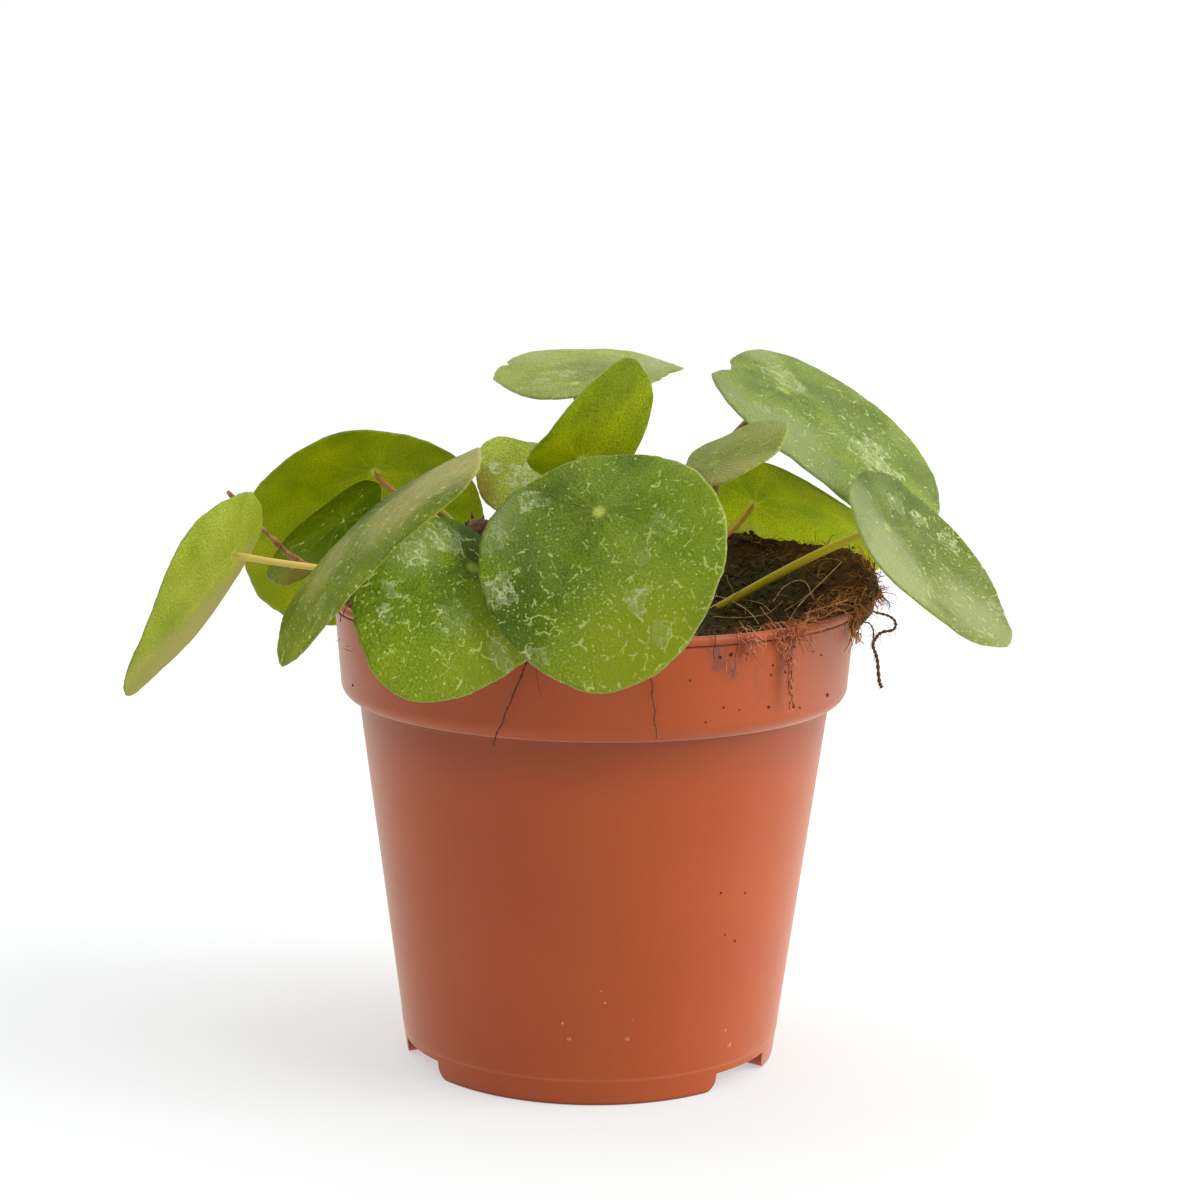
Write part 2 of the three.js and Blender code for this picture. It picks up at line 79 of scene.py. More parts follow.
# Pot
POT_HEIGHT = 107.3
BASE_RADIUS = 43.1
SHOULDER_RADIUS = 54.2
SHOULDER_HEIGHT = 83.4
BAND_CORNER = 4
BAND_CORNER_HEIGHT = 88.2
BAND_RADIUS = 58.4
LIP_RADIUS = 60.5
LIP_BEAD = 2
NECK_RADIUS = LIP_RADIUS - 0.75
WALL = 1.2
FLOOR_THICKNESS = 1.5
FOOT_HEIGHT = 4
FOOT_WIDTH = 5
NOTCH_AZIMUTHS = (-36.8, 84.6, -154)
NOTCH_WIDTH = 18.6
NOTCH_CORNER = 3
NOTCH_HEIGHT = 4.3
DRAIN_RADIUS = 3.4
DRAIN_CIRCLE = 28
DRAIN_COUNT = 6
POT_SEGMENTS = 240
SHARP_ANGLE = 38
INNER_RIDGES = (100.6, 101.9, 103.2, 104.5)
BASE_LINE_HEIGHT = 7.2
BASE_LINE_RISE = 0.12

# Soil
SOIL_LEVEL = 106
SOIL_RISE = 9.8
SOIL_RISE_AZIMUTH = 53
SOIL_EDGE_RADIUS = 58.7
SOIL_FOOT = 92
CLUMP_AZIMUTH = 12
CLUMP_SPREAD = 34
CLUMP_REACH = 6
CLUMP_RISE = 3
CLUMP_DROOP = 5
CLUMP_UNDERSIDE = 103.6
CLUMP_UNDERSIDE_SLOPE = 1.2
HOLLOW_MIDDLE = (47, 29)
HOLLOW_SPREAD = 13
HOLLOW_DEPTH = 3.2
LUMP_HEIGHT = 1.1
LUMP_SIZE = 8
CRUMBLE_HEIGHT = 0.7
CRUMBLE_SIZE = 2.2
CLUMP_FADE = (40, 56)
SOIL_RINGS = 110
SOIL_SEGMENTS = 300
UNDERSIDE_SHARES = (0.99, 0.965, 0.94, 0.925, 0.915, 0.905)

# Loose pieces: the usual radii of a fibre, and how many there are of each kind
FIBRE_RADII = (0.07, 0.16)
SOIL_FIBRES = 900
CLUMP_FIBRES = 1900
CLUMP_LOOPS = 60
CLUMP_DRIPS = 90
SOIL_CRUMBS = 2600
RIM_FIBRES = 90
FRONT_FIBRES = 260

# Stems: foot, head, radius, the spacing of the old leaf scars, and the tints of the bark
STEMS = {
    "stem_old": dict(foot=(-22, 5, 82), head=(-27, 0, 124.5), radius=3.5, scar=5, bark="old_bark",
                     tints=((50, 28, 12), (128, 84, 48))),
    "stem_young": dict(foot=(14, -2, 86), head=(16, 0, 123), radius=2.8, scar=6, bark="young_bark",
                       tints=((70, 66, 26), (126, 118, 56))),
}
STEM_SIDES = 32
STEM_STEP = 0.45
SCAR_HEIGHT = 0.45
SCAR_WIDTH = 0.5
BARK_ROUGHNESS = 0.22
BARK_GRAIN = 1.6

# Leaves. at: the pale mark over the stalk. faces: azimuth and elevation that the upper
# face looks to. spin: turn of the tip from straight downhill. half: half the blade's
# length. bend: rise across, along and in twist at the edge. lobes: count, depth and turn.
# nicks: splits and points of the margin as azimuth from the base, width and depth.
# stalk: the stem that carries it and the height where it joins, or where it enters the
# soil; then how far it runs off the blade and off the stem, how steeply it leaves the
# stem, and which way it leaves the blade where that is not square.
LEAVES = {
    "far_left": dict(
        at=(-83, -8, 117.1), faces=(167, 21), spin=19, half=26.5, bend=(4, 3.7, 2.7),
        lobes=((3, 0.017, -172), (4, 0.008, -53)),
        stalk=dict(on="stem_old", height=108.2, off=16, out=14, climb=12, leave=(-12, -10)),
    ),
    "back_left": dict(
        at=(-54.5, 42.1, 131.4), faces=(101, 44), spin=10, half=31.2, bend=(-6.5, -6.7, 2.2),
        lobes=((3, 0.012, 51), (4, 0.016, -64)),
        stalk=dict(on="stem_old", height=117.5, off=5, out=16, climb=18),
    ),
    "inner_left": dict(
        at=(-60.4, 21, 121.4), faces=(-138, 51), spin=-74.5, half=18, bend=(-2.2, -3.2, -0.9),
        lobes=((3, 0.004, 152), (4, 0.017, 25)),
        stalk=dict(on="stem_old", height=113, off=5, out=12, climb=20),
    ),
    "edge_left": dict(
        at=(-37.8, -54.6, 139.4), faces=(-177.7, 57.6), spin=14.5, half=29.5,
        bend=(-4.9, -6.8, 2.3), lobes=((2, 0.028, 49), (3, 0.038, 161), (4, 0.055, -95)),
        stalk=dict(on="stem_old", height=116, off=7, out=16, climb=25),
    ),
    "front_left": dict(
        at=(-25.3, -57, 121.7), faces=(-53, 42), spin=-52, half=20.5, bend=(-0.9, -6, 0),
        lobes=((3, 0.005, 142), (4, 0.026, -48)),
        stalk=dict(on="stem_old", height=110.5, off=8, out=18, climb=12),
    ),
    "front": dict(
        at=(0.6, -60, 134), faces=(-107, 37), spin=17, half=26.4, bend=(3.5, -3, -2.6),
        lobes=((3, 0.012, -173), (4, 0.004, 73)),
        stalk=dict(on="stem_young", height=113, off=12, out=22, climb=20),
    ),
    "upright": dict(
        at=(-4, -22, 141.4), faces=(124, 45), spin=-170, half=16, bend=(0, 4.1, -4.1),
        lobes=((3, 0.005, -179), (4, 0.017, 96)),
        stalk=dict(on="stem_young", height=117, off=9, out=14, climb=30),
    ),
    "top": dict(
        at=(-5.5, 26, 154.6), faces=(-116, 78), spin=-169, half=22.3, bend=(0.6, -0.2, -1.6),
        lobes=((3, 0.005, -108), (4, 0.015, -44)), nicks=((-98, 2.6, 0.09), (97, 5, -0.07),
        (86, 2.5, 0.06), (77, 3, 0.05), (66, 4, 0.03)),
        stalk=dict(on="stem_young", height=120.5, off=12, out=14, climb=45),
    ),
    "gloss": dict(
        at=(-14.5, 4, 139), faces=(-73, 58), spin=-41, half=11.4, bend=(0.6, -2.6, 1),
        lobes=((3, 0.004, -156), (4, 0.012, 71)),
        stalk=dict(on="stem_old", height=121, off=7, out=6, climb=35),
    ),
    "high_right": dict(
        at=(44.3, 20, 153.8), faces=(-35.4, 58), spin=13.8, half=31.8, bend=(-0.7, -3.6, -0.4),
        lobes=((3, 0.016, 159), (4, 0.041, -176)), nicks=((14, 11, 0.09),),
        stalk=dict(on="stem_young", height=118.5, off=10, out=24, climb=62, leave=(-137, -22)),
    ),
    "small_right": dict(
        at=(25.5, -24, 140.8), faces=(-144, 59), spin=158, half=12.7, bend=(-0.4, 0.2, 0.8),
        lobes=((4, 0.009, -74),), stalk=dict(on="stem_young", height=115, off=9, out=8, climb=35),
    ),
    "back_right": dict(
        at=(39.3, 49, 123.9), faces=(61, 40), spin=-51, half=24.3, bend=(-4.6, 1.2, -1.7),
        lobes=((3, 0.005, 173), (4, 0.01, -6)),
        stalk=dict(on="stem_young", height=111, off=10, out=14, climb=8),
    ),
    "far_right": dict(
        at=(64.7, -22, 126.8), faces=(-27, 38), spin=17, half=24.7, bend=(2.4, 2.7, 0.7),
        lobes=((3, 0.019, -162), (4, 0.013, 117)),
        stalk=dict(into=(23.6, -12.6, 104), off=8, out=26, climb=33, leave=(167, -13)),
    ),
}
BLADE_ASPECT = 0.98
CAD_BLADE_THICKNESS = 0.9
BLADE_THICKNESS = 0.7
BLADE_RINGS = 40
BLADE_SEGMENTS = 144
MARK_OFFSET = 0.45
MARGIN_SCALLOPS = 7
MARGIN_SCALLOP_DEPTH = 0.006
MARGIN_NOISE = ((4, 0.016), (10, 0.01), (22, 0.006))
MARGIN_WAVE = 0.35
MARGIN_WAVES = 5
MARGIN_ROUNDING = 0.982
RELIEF_DEPTH = 0.16
RELIEF_SIZES = (5, 2.2)
MARK_DIMPLE = 0.35
STALK_RADIUS = 0.95
STALK_SIDES = 12
STALK_STEPS = 60
STALK_HEAD = 2
WOBBLE_SEED = 1

DEAD_STALK_PATH = (
    (-25, 3, 109.5), (-46, 5.5, 108.9), (-67, 8, 112.3), (-79, 17, 119.7), (-87.4, 20, 128.1),
)


def radians(degrees):
    return degrees * math.pi / 180


def polar(radius, azimuth):
    """Place across the floor at a radius and an azimuth in radians."""
    return radius * math.cos(azimuth), radius * math.sin(azimuth)


def smoothstep(low, high, value):
    t = np.clip((value - low) / (high - low), 0, 1)
    return t * t * (3 - 2 * t)


def direction(azimuth, elevation):
    """Unit vector from an azimuth and an elevation in degrees."""
    flat = math.cos(radians(elevation))
    return np.array([*polar(flat, radians(azimuth)), math.sin(radians(elevation))])


def unit(vector):
    return vector / np.linalg.norm(vector)


def plain_colour(red, green, blue):
    """Linear colour with alpha from the 0 to 255 values that a screen shows."""
    def linear(value):
        share = value / 255
        return share / 12.92 if share <= 0.04045 else ((share + 0.055) / 1.055) ** 2.4
    return (linear(red), linear(green), linear(blue), 1)


def new_item(name, data):
    item = bpy.data.objects.new(name, data)
    bpy.context.scene.collection.objects.link(item)
    return item


def new_mesh(name, points, faces):
    """Mesh from points in millimetres."""
    mesh = bpy.data.meshes.new(name)
    placed = np.asarray(points, float) * MM + np.array(POT_AXIS)
    mesh.from_pydata(placed.tolist(), [], faces)
    return mesh


def mesh_piece(name, points, faces, material, slot, replaced=(), **values):
    """Piece of the plant, with values kept at its points for its material."""
    mesh = new_mesh(name, points, faces)
    for key, value in values.items():
        value = np.asarray(value, np.float32)
        kind, field = ("FLOAT_VECTOR", "vector") if value.ndim == 2 else ("FLOAT", "value")
        mesh.attributes.new(key, kind, "POINT").data.foreach_set(field, value.ravel())
    mesh.materials.append(material)
    mesh.shade_smooth()
    piece = new_item(name, mesh)
    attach(piece, "root")
    if replaced:
        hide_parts(*replaced)
    return piece


# Node trees


class Nodes:
    """Adds nodes to one tree and joins them."""

    def __init__(self, tree):
        self.tree = tree

    def put(self, socket, value):
        if isinstance(value, bpy.types.NodeSocket):
            self.tree.links.new(value, socket)
        else:
            socket.default_value = value

    def add(self, kind, inputs=None, **settings):
        node = self.tree.nodes.new(kind)
        for key, value in settings.items():
            setattr(node, key, value)
        for key, value in (inputs or {}).items():
            self.put(node.inputs[key], value)
        return node

    def math(self, operation, *values):
        return self.add("ShaderNodeMath", dict(enumerate(values)), operation=operation).outputs[0]

    def times(self, value, factor):
        return self.math("MULTIPLY", value, factor)

    def times_plus(self, value, factor, start):
        return self.math("MULTIPLY_ADD", value, factor, start)

    def minus(self, value, taken):
        return self.math("SUBTRACT", value, taken)

    def divided(self, value, divisor):
        return self.math("DIVIDE", value, divisor)

    def larger(self, value, other):
        return self.math("MAXIMUM", value, other)

    def clamped(self, value):
        return self.add("ShaderNodeClamp", {"Value": value}).outputs[0]

    def vector_math(self, operation, *values):
        node = self.add("ShaderNodeVectorMath", dict(enumerate(values)), operation=operation)
        return node.outputs["Value" if operation in ("LENGTH", "DISTANCE") else "Vector"]

    def scaled(self, vector, factor):
        inputs = {0: vector, "Scale": factor}
        return self.add("ShaderNodeVectorMath", inputs, operation="SCALE").outputs[0]

    def axes(self, vector):
        return self.add("ShaderNodeSeparateXYZ", {0: vector}).outputs

    def band(self, value, low, high):
        """0 below low, 1 above high and smooth between; the other way round if low is above high."""
        inputs = {"Value": value, "From Min": low, "From Max": high}
        if low > high:
            inputs = {"Value": value, "From Min": high, "From Max": low, "To Min": 1.0, "To Max": 0.0}
        return self.add("ShaderNodeMapRange", inputs, interpolation_type="SMOOTHSTEP").outputs[0]

    def tinted(self, base, over, mask, strength=None):
        """One colour over another where a mask says so; each is a socket or three screen values."""
        share = mask if strength is None else self.times(mask, strength)
        node = self.add("ShaderNodeMix", data_type="RGBA")
        for index, value in ((0, share), (6, base), (7, over)):
            self.put(node.inputs[index], plain_colour(*value) if isinstance(value, tuple) else value)
        return node.outputs[2]

    def noise(self, vector, scale, detail=2.0, roughness=0.5, variant=None, output="Fac"):
        inputs = {"Vector": vector, "Scale": scale, "Detail": detail, "Roughness": roughness}
        if variant is not None:
            inputs["W"] = variant
        dimensions = "3D" if variant is None else "4D"
        return self.add("ShaderNodeTexNoise", inputs, noise_dimensions=dimensions).outputs[output]

    def stirred(self, place, scale, amount):
        push = self.scaled(self.noise(place, scale, output="Color"), amount)
        return self.vector_math("ADD", place, push)

    def cells(self, vector, scale, **settings):
        inputs = {"Vector": vector, "Scale": scale, "Randomness": 1.0}
        return self.add("ShaderNodeTexVoronoi", inputs, **settings).outputs

    def layers(self, base, *layers):
        """Colours laid over one another: each with its mask, and with its strength if it has one."""
        for layer in layers:
            base = self.tinted(base, *layer)
        return base

    def millimetres(self):
        return self.scaled(self.add("ShaderNodeTexCoord").outputs["Object"], 1000.0)

    def bump(self, height, strength, distance):
        inputs = {"Height": height, "Strength": strength, "Distance": distance}
        return self.add("ShaderNodeBump", inputs).outputs[0]

    def group(self, tree, **inputs):
        node = self.add("ShaderNodeGroup", node_tree=tree)
        for key, value in inputs.items():
            self.put(node.inputs[key.capitalize()], value)
        return node.outputs[0]

    def mottle(self, place, size, contrast, variant):
        return self.group(MOTTLE, place=place, size=size, contrast=contrast, variant=variant)

    def smear(self, place, centre, radius, variant):
        return self.group(SMEAR, place=place, centre=centre, radius=radius, variant=variant)

    def attribute(self, name, output="Vector"):
        return self.add("ShaderNodeAttribute", attribute_name=name).outputs[output]

    def surface(self, through=None, share=0.0, **values):
        """The material's own shader; through is the colour of the share of light that it lets by."""
        shader = self.add("ShaderNodeBsdfPrincipled")
        for key, value in values.items():
            self.put(shader.inputs[key.replace("_", " ")], value)
        shown = shader.outputs[0]
        if through is not None:
            glow = self.add("ShaderNodeBsdfTranslucent", {"Color": through}).outputs[0]
            shown = self.add("ShaderNodeMixShader", {0: share, 1: shown, 2: glow}).outputs[0]
        self.add("ShaderNodeOutputMaterial", {"Surface": shown})


def new_material(name):
    material = bpy.data.materials.new(name)
    material.use_nodes = True
    material.node_tree.nodes.clear()
    return material, Nodes(material.node_tree)


def new_group(name, *inputs):
    """Node group that gives a mask: its tree, its nodes, its input sockets and its output socket."""
    tree = bpy.data.node_groups.new(name, "ShaderNodeTree")
    for socket in inputs:
        kind = "NodeSocketVector" if socket in ("Place", "Centre") else "NodeSocketFloat"
        tree.interface.new_socket(name=socket, in_out="INPUT", socket_type=kind)
    tree.interface.new_socket(name="Mask", in_out="OUTPUT", socket_type="NodeSocketFloat")
    nodes = Nodes(tree)
    return tree, nodes, nodes.add("NodeGroupInput").outputs, nodes.add("NodeGroupOutput").inputs[0]


def mottle_group():
    """Soft uneven patches of one size in millimetres."""
    tree, nodes, given, mask = new_group("mottle", "Place", "Size", "Contrast", "Variant")
    scale = nodes.divided(1.0, given["Size"])
    cloud = nodes.noise(given["Place"], scale, detail=3.0, roughness=0.55, variant=given["Variant"])
    stretched = nodes.times_plus(nodes.minus(cloud, 0.5), given["Contrast"], 0.5)
    nodes.put(mask, nodes.clamped(stretched))
    return tree


def rays_group():
    """Veins that fan out from the pale mark of a leaf, a given number all round."""
    tree, nodes, given, mask = new_group("leaf veins", "Place", "Count", "Width", "Reach", "Variant")
    axes = nodes.axes(given["Place"])
    flat = nodes.add("ShaderNodeCombineXYZ", {"X": axes["X"], "Y": axes["Y"]}).outputs[0]
    radius = nodes.vector_math("LENGTH", flat)
    turns = nodes.divided(nodes.math("ARCTAN2", axes["X"], axes["Y"]), 2 * math.pi)
    wander = nodes.noise(flat, 0.09, variant=given["Variant"])
    turned = nodes.times_plus(nodes.minus(wander, 0.5), 0.16, turns)
    share = nodes.math("FRACT", nodes.times(turned, given["Count"]))
    aside = nodes.math("ABSOLUTE", nodes.minus(share, 0.5))
    distance = nodes.times(nodes.divided(nodes.times(aside, radius), given["Count"]), 2 * math.pi)
    line = nodes.clamped(nodes.minus(1.0, nodes.divided(distance, given["Width"])))
    fade = nodes.clamped(nodes.minus(1.0, nodes.divided(radius, given["Reach"])))
    nodes.put(mask, nodes.times(line, fade))
    return tree


def flecks_group():
    """Dried lime from watering: small dots, short dashes and broken curling lines."""
    tree, nodes, given, result = new_group("lime flecks", "Place", "Amount", "Variant")
    place = nodes.vector_math("ADD", given["Place"], nodes.times(given["Variant"], 37.0))

    def spots(vector, scale, share, size):
        cells = nodes.cells(vector, scale, voronoi_dimensions="2D")
        luck = nodes.axes(cells["Color"])
        chosen = nodes.math("LESS_THAN", luck["X"], nodes.times(given["Amount"], share))
        wide = nodes.times_plus(luck["Y"], size, size * 0.4)
        filled = nodes.clamped(nodes.times(nodes.minus(wide, cells["Distance"]), 18.0))
        return nodes.times(filled, chosen)

    thick = nodes.band(nodes.noise(place, 0.07, detail=1.0), 0.42, 0.62)
    mask = nodes.times(spots(place, 0.8, 0.65, 0.15), thick)
    mask = nodes.larger(mask, spots(place, 0.5, 0.35, 0.12))
    for turn, share in ((0.5, 0.2), (1.7, 0.14), (2.6, 0.14)):
        inputs = {"Vector": place, "Angle": turn}
        turned = nodes.add("ShaderNodeVectorRotate", inputs, rotation_type="Z_AXIS").outputs[0]
        dashes = nodes.vector_math("MULTIPLY", turned, (0.85, 0.2, 1.0))
        mask = nodes.larger(mask, spots(dashes, 1.0, share, 0.11))
    cells = nodes.cells(
        nodes.stirred(place, 0.35, 3.2), 0.26, feature="DISTANCE_TO_EDGE", voronoi_dimensions="2D",
    )
    line = nodes.band(cells["Distance"], 0.065, 0.03)
    limit = nodes.times_plus(given["Amount"], -0.13, 0.66)
    unbroken = nodes.clamped(nodes.times(nodes.minus(nodes.noise(place, 0.4), limit), 14.0))
    nodes.put(result, nodes.larger(mask, nodes.times(line, unbroken)))
    return tree


def smear_group():
    """One larger patch round a centre: misty, with a ragged edge and a net of lines. It draws dried lime
    and stains, and also painted highlights and a painted shadow.
    """
    tree, nodes, given, mask = new_group("lime smear", "Place", "Centre", "Radius", "Variant")
    place, variant = given["Place"], given["Variant"]
    share = nodes.divided(nodes.vector_math("DISTANCE", place, given["Centre"]), given["Radius"])
    ragged = nodes.noise(place, 0.3, detail=4.0, roughness=0.65, variant=variant)
    edge = nodes.times_plus(nodes.minus(ragged, 0.5), 4.2, share)
    patch = nodes.band(edge, 0.95, 0.8)
    outline = nodes.band(nodes.math("ABSOLUTE", nodes.minus(edge, 0.82)), 0.14, 0.06)
    cells = nodes.cells(nodes.stirred(place, 0.5, 2.4), 0.45, feature="DISTANCE_TO_EDGE")
    torn = nodes.noise(place, 0.5, variant=variant)
    lines = nodes.times(nodes.band(cells["Distance"], 0.12, 0.07), nodes.band(torn, 0.4, 0.6))
    mist = nodes.noise(place, 1.1, detail=4.0, roughness=0.7, variant=variant)
    mist = nodes.times_plus(nodes.band(mist, 0.42, 0.58), 0.3, 0.07)
    outline = nodes.times(outline, nodes.band(torn, 0.35, 0.55))
    body = nodes.times(patch, nodes.larger(lines, mist))
    nodes.put(mask, nodes.larger(body, nodes.times(outline, 0.8)))
    return tree


MOTTLE = mottle_group()
RAYS = rays_group()
FLECKS = flecks_group()
SMEAR = smear_group()

# Leaf finishes, as the 0 to 255 values that a screen shows. upper: the darker and lighter
# green of the upper face, and under: of the underside, where they are not the plain ones.
# flecks: how much lime it has. sheen_strength: how strong the painted sheen is, light that
# glances off the upper face painted in as pale grey-green. shine: how glossy it is.
# gleam: how strongly it reflects. drawn: how strong the light and dark streaks along it
# are. mark: how clear its mark is. areas: soft patches as places from the mark, across and
# towards the tip, each with its radius, tint and strength; painted_sheen areas are painted
# sheen, and a few others are painted shade or painted sheen where noted. smears: dried
# patches of lime in the same way, without a tint; where noted they are also painted
# highlights. under_areas and stains: the same two on the underside.
PLAIN_UPPER = ((84, 118, 24), (130, 158, 50))
PLAIN_UNDER = ((150, 168, 20), (176, 190, 40))
LEAF_TONES = {
    "far_left": dict(
        under=((148, 164, 36), (180, 188, 84)), under_areas=((15, 4, 11, "tan", 0.85),
        (10, 22, 17, "tan", 0.85), (-6, 34, 10, "tan", 0.6)), stains=((-9, 20, 5, 0.4),
        (-6, 28, 3.5, 0.3)),
    ),
    "back_left": dict(
        under=((82, 100, 0), (136, 146, 4)), under_areas=((-26, 33, 12, "pale", 0.6),
        (-30, 2, 9, "pale", 0.35)), stains=((-14, 30.5, 3.4, 0.5), (-10, 31, 2.6, 0.4)),
    ),
    "inner_left": dict(
        upper=((34, 64, 0), (68, 96, 0)), flecks=0.6, gleam=0.04, mark=0,
        areas=((-22, 9, 11, "brown", 0.6),),
    ),
    "edge_left": dict(
        upper=((34, 58, 0), (96, 110, 4)), flecks=0.7, gleam=0.07, drawn=0.45,
        # Its tan areas are painted sheen: light glancing off this steep upper face, painted in as
        # grey-tan.
        areas=((-14, -10, 13, "tan", 0.7), (-13, 8, 11, "tan", 0.5), (0, 25, 9, "tan", 0.35),
        (-24, 37, 6, "tan", 0.5), (2, 6, 8, "deep", 0.4), (13, 9, 9, "deep", 0.8),
        (12, 38, 8, "deep", 0.4), (16, 24, 9, "pale", 0.3)), smears=((-13, 33, 3, 0.4),
        (-20, 0, 6, 0.2)),
    ),
    "front_left": dict(
        upper=((46, 84, 0), (128, 152, 20)), flecks=0.9, sheen_strength=0.1, mark=0.5,
        # The strong deep area by its mark is painted shadow of the front leaf above it.
        areas=((-2, -7, 10, "deep", 0.95), (20, 24, 10, "deep", 0.5), (0, 8, 8, "deep", 0.3),
        (13, 4, 8, "painted_sheen", 0.3), (-13, 17, 9, "pale", 0.5), (-3, 27, 8, "pale", 0.3)),
        # Its smears are both dried lime and painted highlights: glossy white patches painted bright.
        smears=((11.5, 5.7, 3.4, 1.0), (8, -1.5, 4.2, 0.8), (10.9, 15.4, 2.6, 0.8),
        (9, 20.2, 2, 0.9), (-2.8, 13.4, 3.4, 0.3), (-15.4, 12.9, 3, 0.6)),
    ),
    "front": dict(
        upper=((48, 86, 0), (124, 150, 26)), flecks=1.0, sheen_strength=0.25,
        areas=((11, 4, 14, "deep", 0.24), (20, 21, 10, "deep", 0.5), (22, 35, 6, "painted_sheen", 0.5),
        (24, -5, 10, "painted_sheen", 0.5), (-24, -11, 9, "painted_sheen", 0.3), (-6, 34, 17, "pale", 0.8),
        (-24, 31, 9, "deep", 0.25)), smears=((22.4, 14.7, 3.8, 0.9), (13.7, -5.3, 3, 0.8),
        (23.5, 2, 4.5, 0.4), (-4.9, 22, 3, 0.8), (17.1, 29.3, 2.2, 0.5), (-8.8, 29.5, 2.4, 0.5),
        (-7.9, 13, 1.8, 0.4), (-12.2, 6.5, 3, 0.25)),
    ),
    "upright": dict(
        under=((104, 116, 0), (138, 148, 0)), under_areas=((0, 21, 11, "deep", 0.3),),
    ),
    "top": dict(
        upper=((112, 130, 18), (176, 182, 100)), flecks=0.5, sheen_strength=0.3,
        areas=((-1, 12, 9, "deep", 0.35), (17, 22, 13, "painted_sheen", 0.75), (-19, 21, 8, "painted_sheen", 0.55)),
        smears=((-4.6, 7.8, 3, 0.7), (-8.7, 0.8, 2.6, 0.6)),
    ),
    "gloss": dict(
        upper=((128, 144, 0), (184, 192, 80)), flecks=0.3, sheen_strength=0.2, shine=0.2,
        # Its smears are painted highlights: pale glossy reflections drawn with the lime patch pattern.
        areas=((8, 17, 8, "brown", 0.75),), smears=((0, 7.5, 3.6, 1.0), (-1, 3, 2.2, 0.9),
        (5, 9, 2, 0.8)),
    ),
    "high_right": dict(
        upper=((56, 86, 0), (122, 138, 54)), flecks=0.6, sheen_strength=0.35, mark=0.4,
        areas=((-14, 14, 15, "deep", 0.3), (-17, 42, 11, "deep", 0.35), (20, -12, 10, "painted_sheen", 0.3),
        (16, 12, 10, "painted_sheen", 0.2), (-13, -13, 7, "painted_sheen", 0.5), (31, 8, 17, "painted_sheen", 0.4)),
        smears=((-5.8, -2.8, 5.5, 0.6), (-2.6, 24.9, 6.5, 0.8), (18.1, 0.7, 2, 0.6)),
    ),
    "small_right": dict(
        upper=((98, 108, 32), (150, 150, 80)), flecks=0.5, sheen_strength=0.4, mark=0.3,
        areas=((13, 1, 9, "tan", 0.55),),
    ),
    "back_right": dict(
        under=((130, 162, 0), (190, 206, 10)), under_areas=((-13, 2, 7, "tan", 0.5),),
    ),
    "far_right": dict(
        upper=((48, 68, 10), (96, 108, 50)), flecks=0.8, sheen_strength=0.25, mark=0.4,
        areas=((17, 6, 15, "painted_sheen", 0.75), (3, 27, 13, "painted_sheen", 0.6), (6, -8, 10, "painted_sheen", 0.45),
        (3, 5, 7, "painted_sheen", 0.3)), smears=((-11.3, -0.9, 3, 0.7), (-15.3, 5.3, 3, 0.75),
        (-17.7, 13.6, 3, 0.7), (-9.6, 31.3, 3, 0.5)),
    ),
}
AREA_TINTS = {
    "deep": (40, 74, 0),
    "pale": (158, 172, 36),
    # painted sheen: light glancing off the skin, painted in as pale grey-green
    "painted_sheen": (176, 184, 132),
    # tan: a tan tint; on edge_left it paints sheen
    "tan": (204, 190, 122),
    "brown": (150, 124, 44),
}
GLOW_THROUGH = 0.38
GLOW_DEEP = (196, 216, 0)
GLOW_PALE = (234, 240, 40)
LIME = (214, 220, 170)
FLECK_GREEN = (214, 224, 136)
MARK_GREEN = (218, 226, 118)
MARGIN_GREEN = (186, 186, 132)
VEIN_GREEN = (150, 166, 70)
# pale grey-green of the painted sheen over the upper faces
PAINTED_SHEEN_GREEN = (158, 170, 118)
STAIN_GREY = (118, 112, 78)


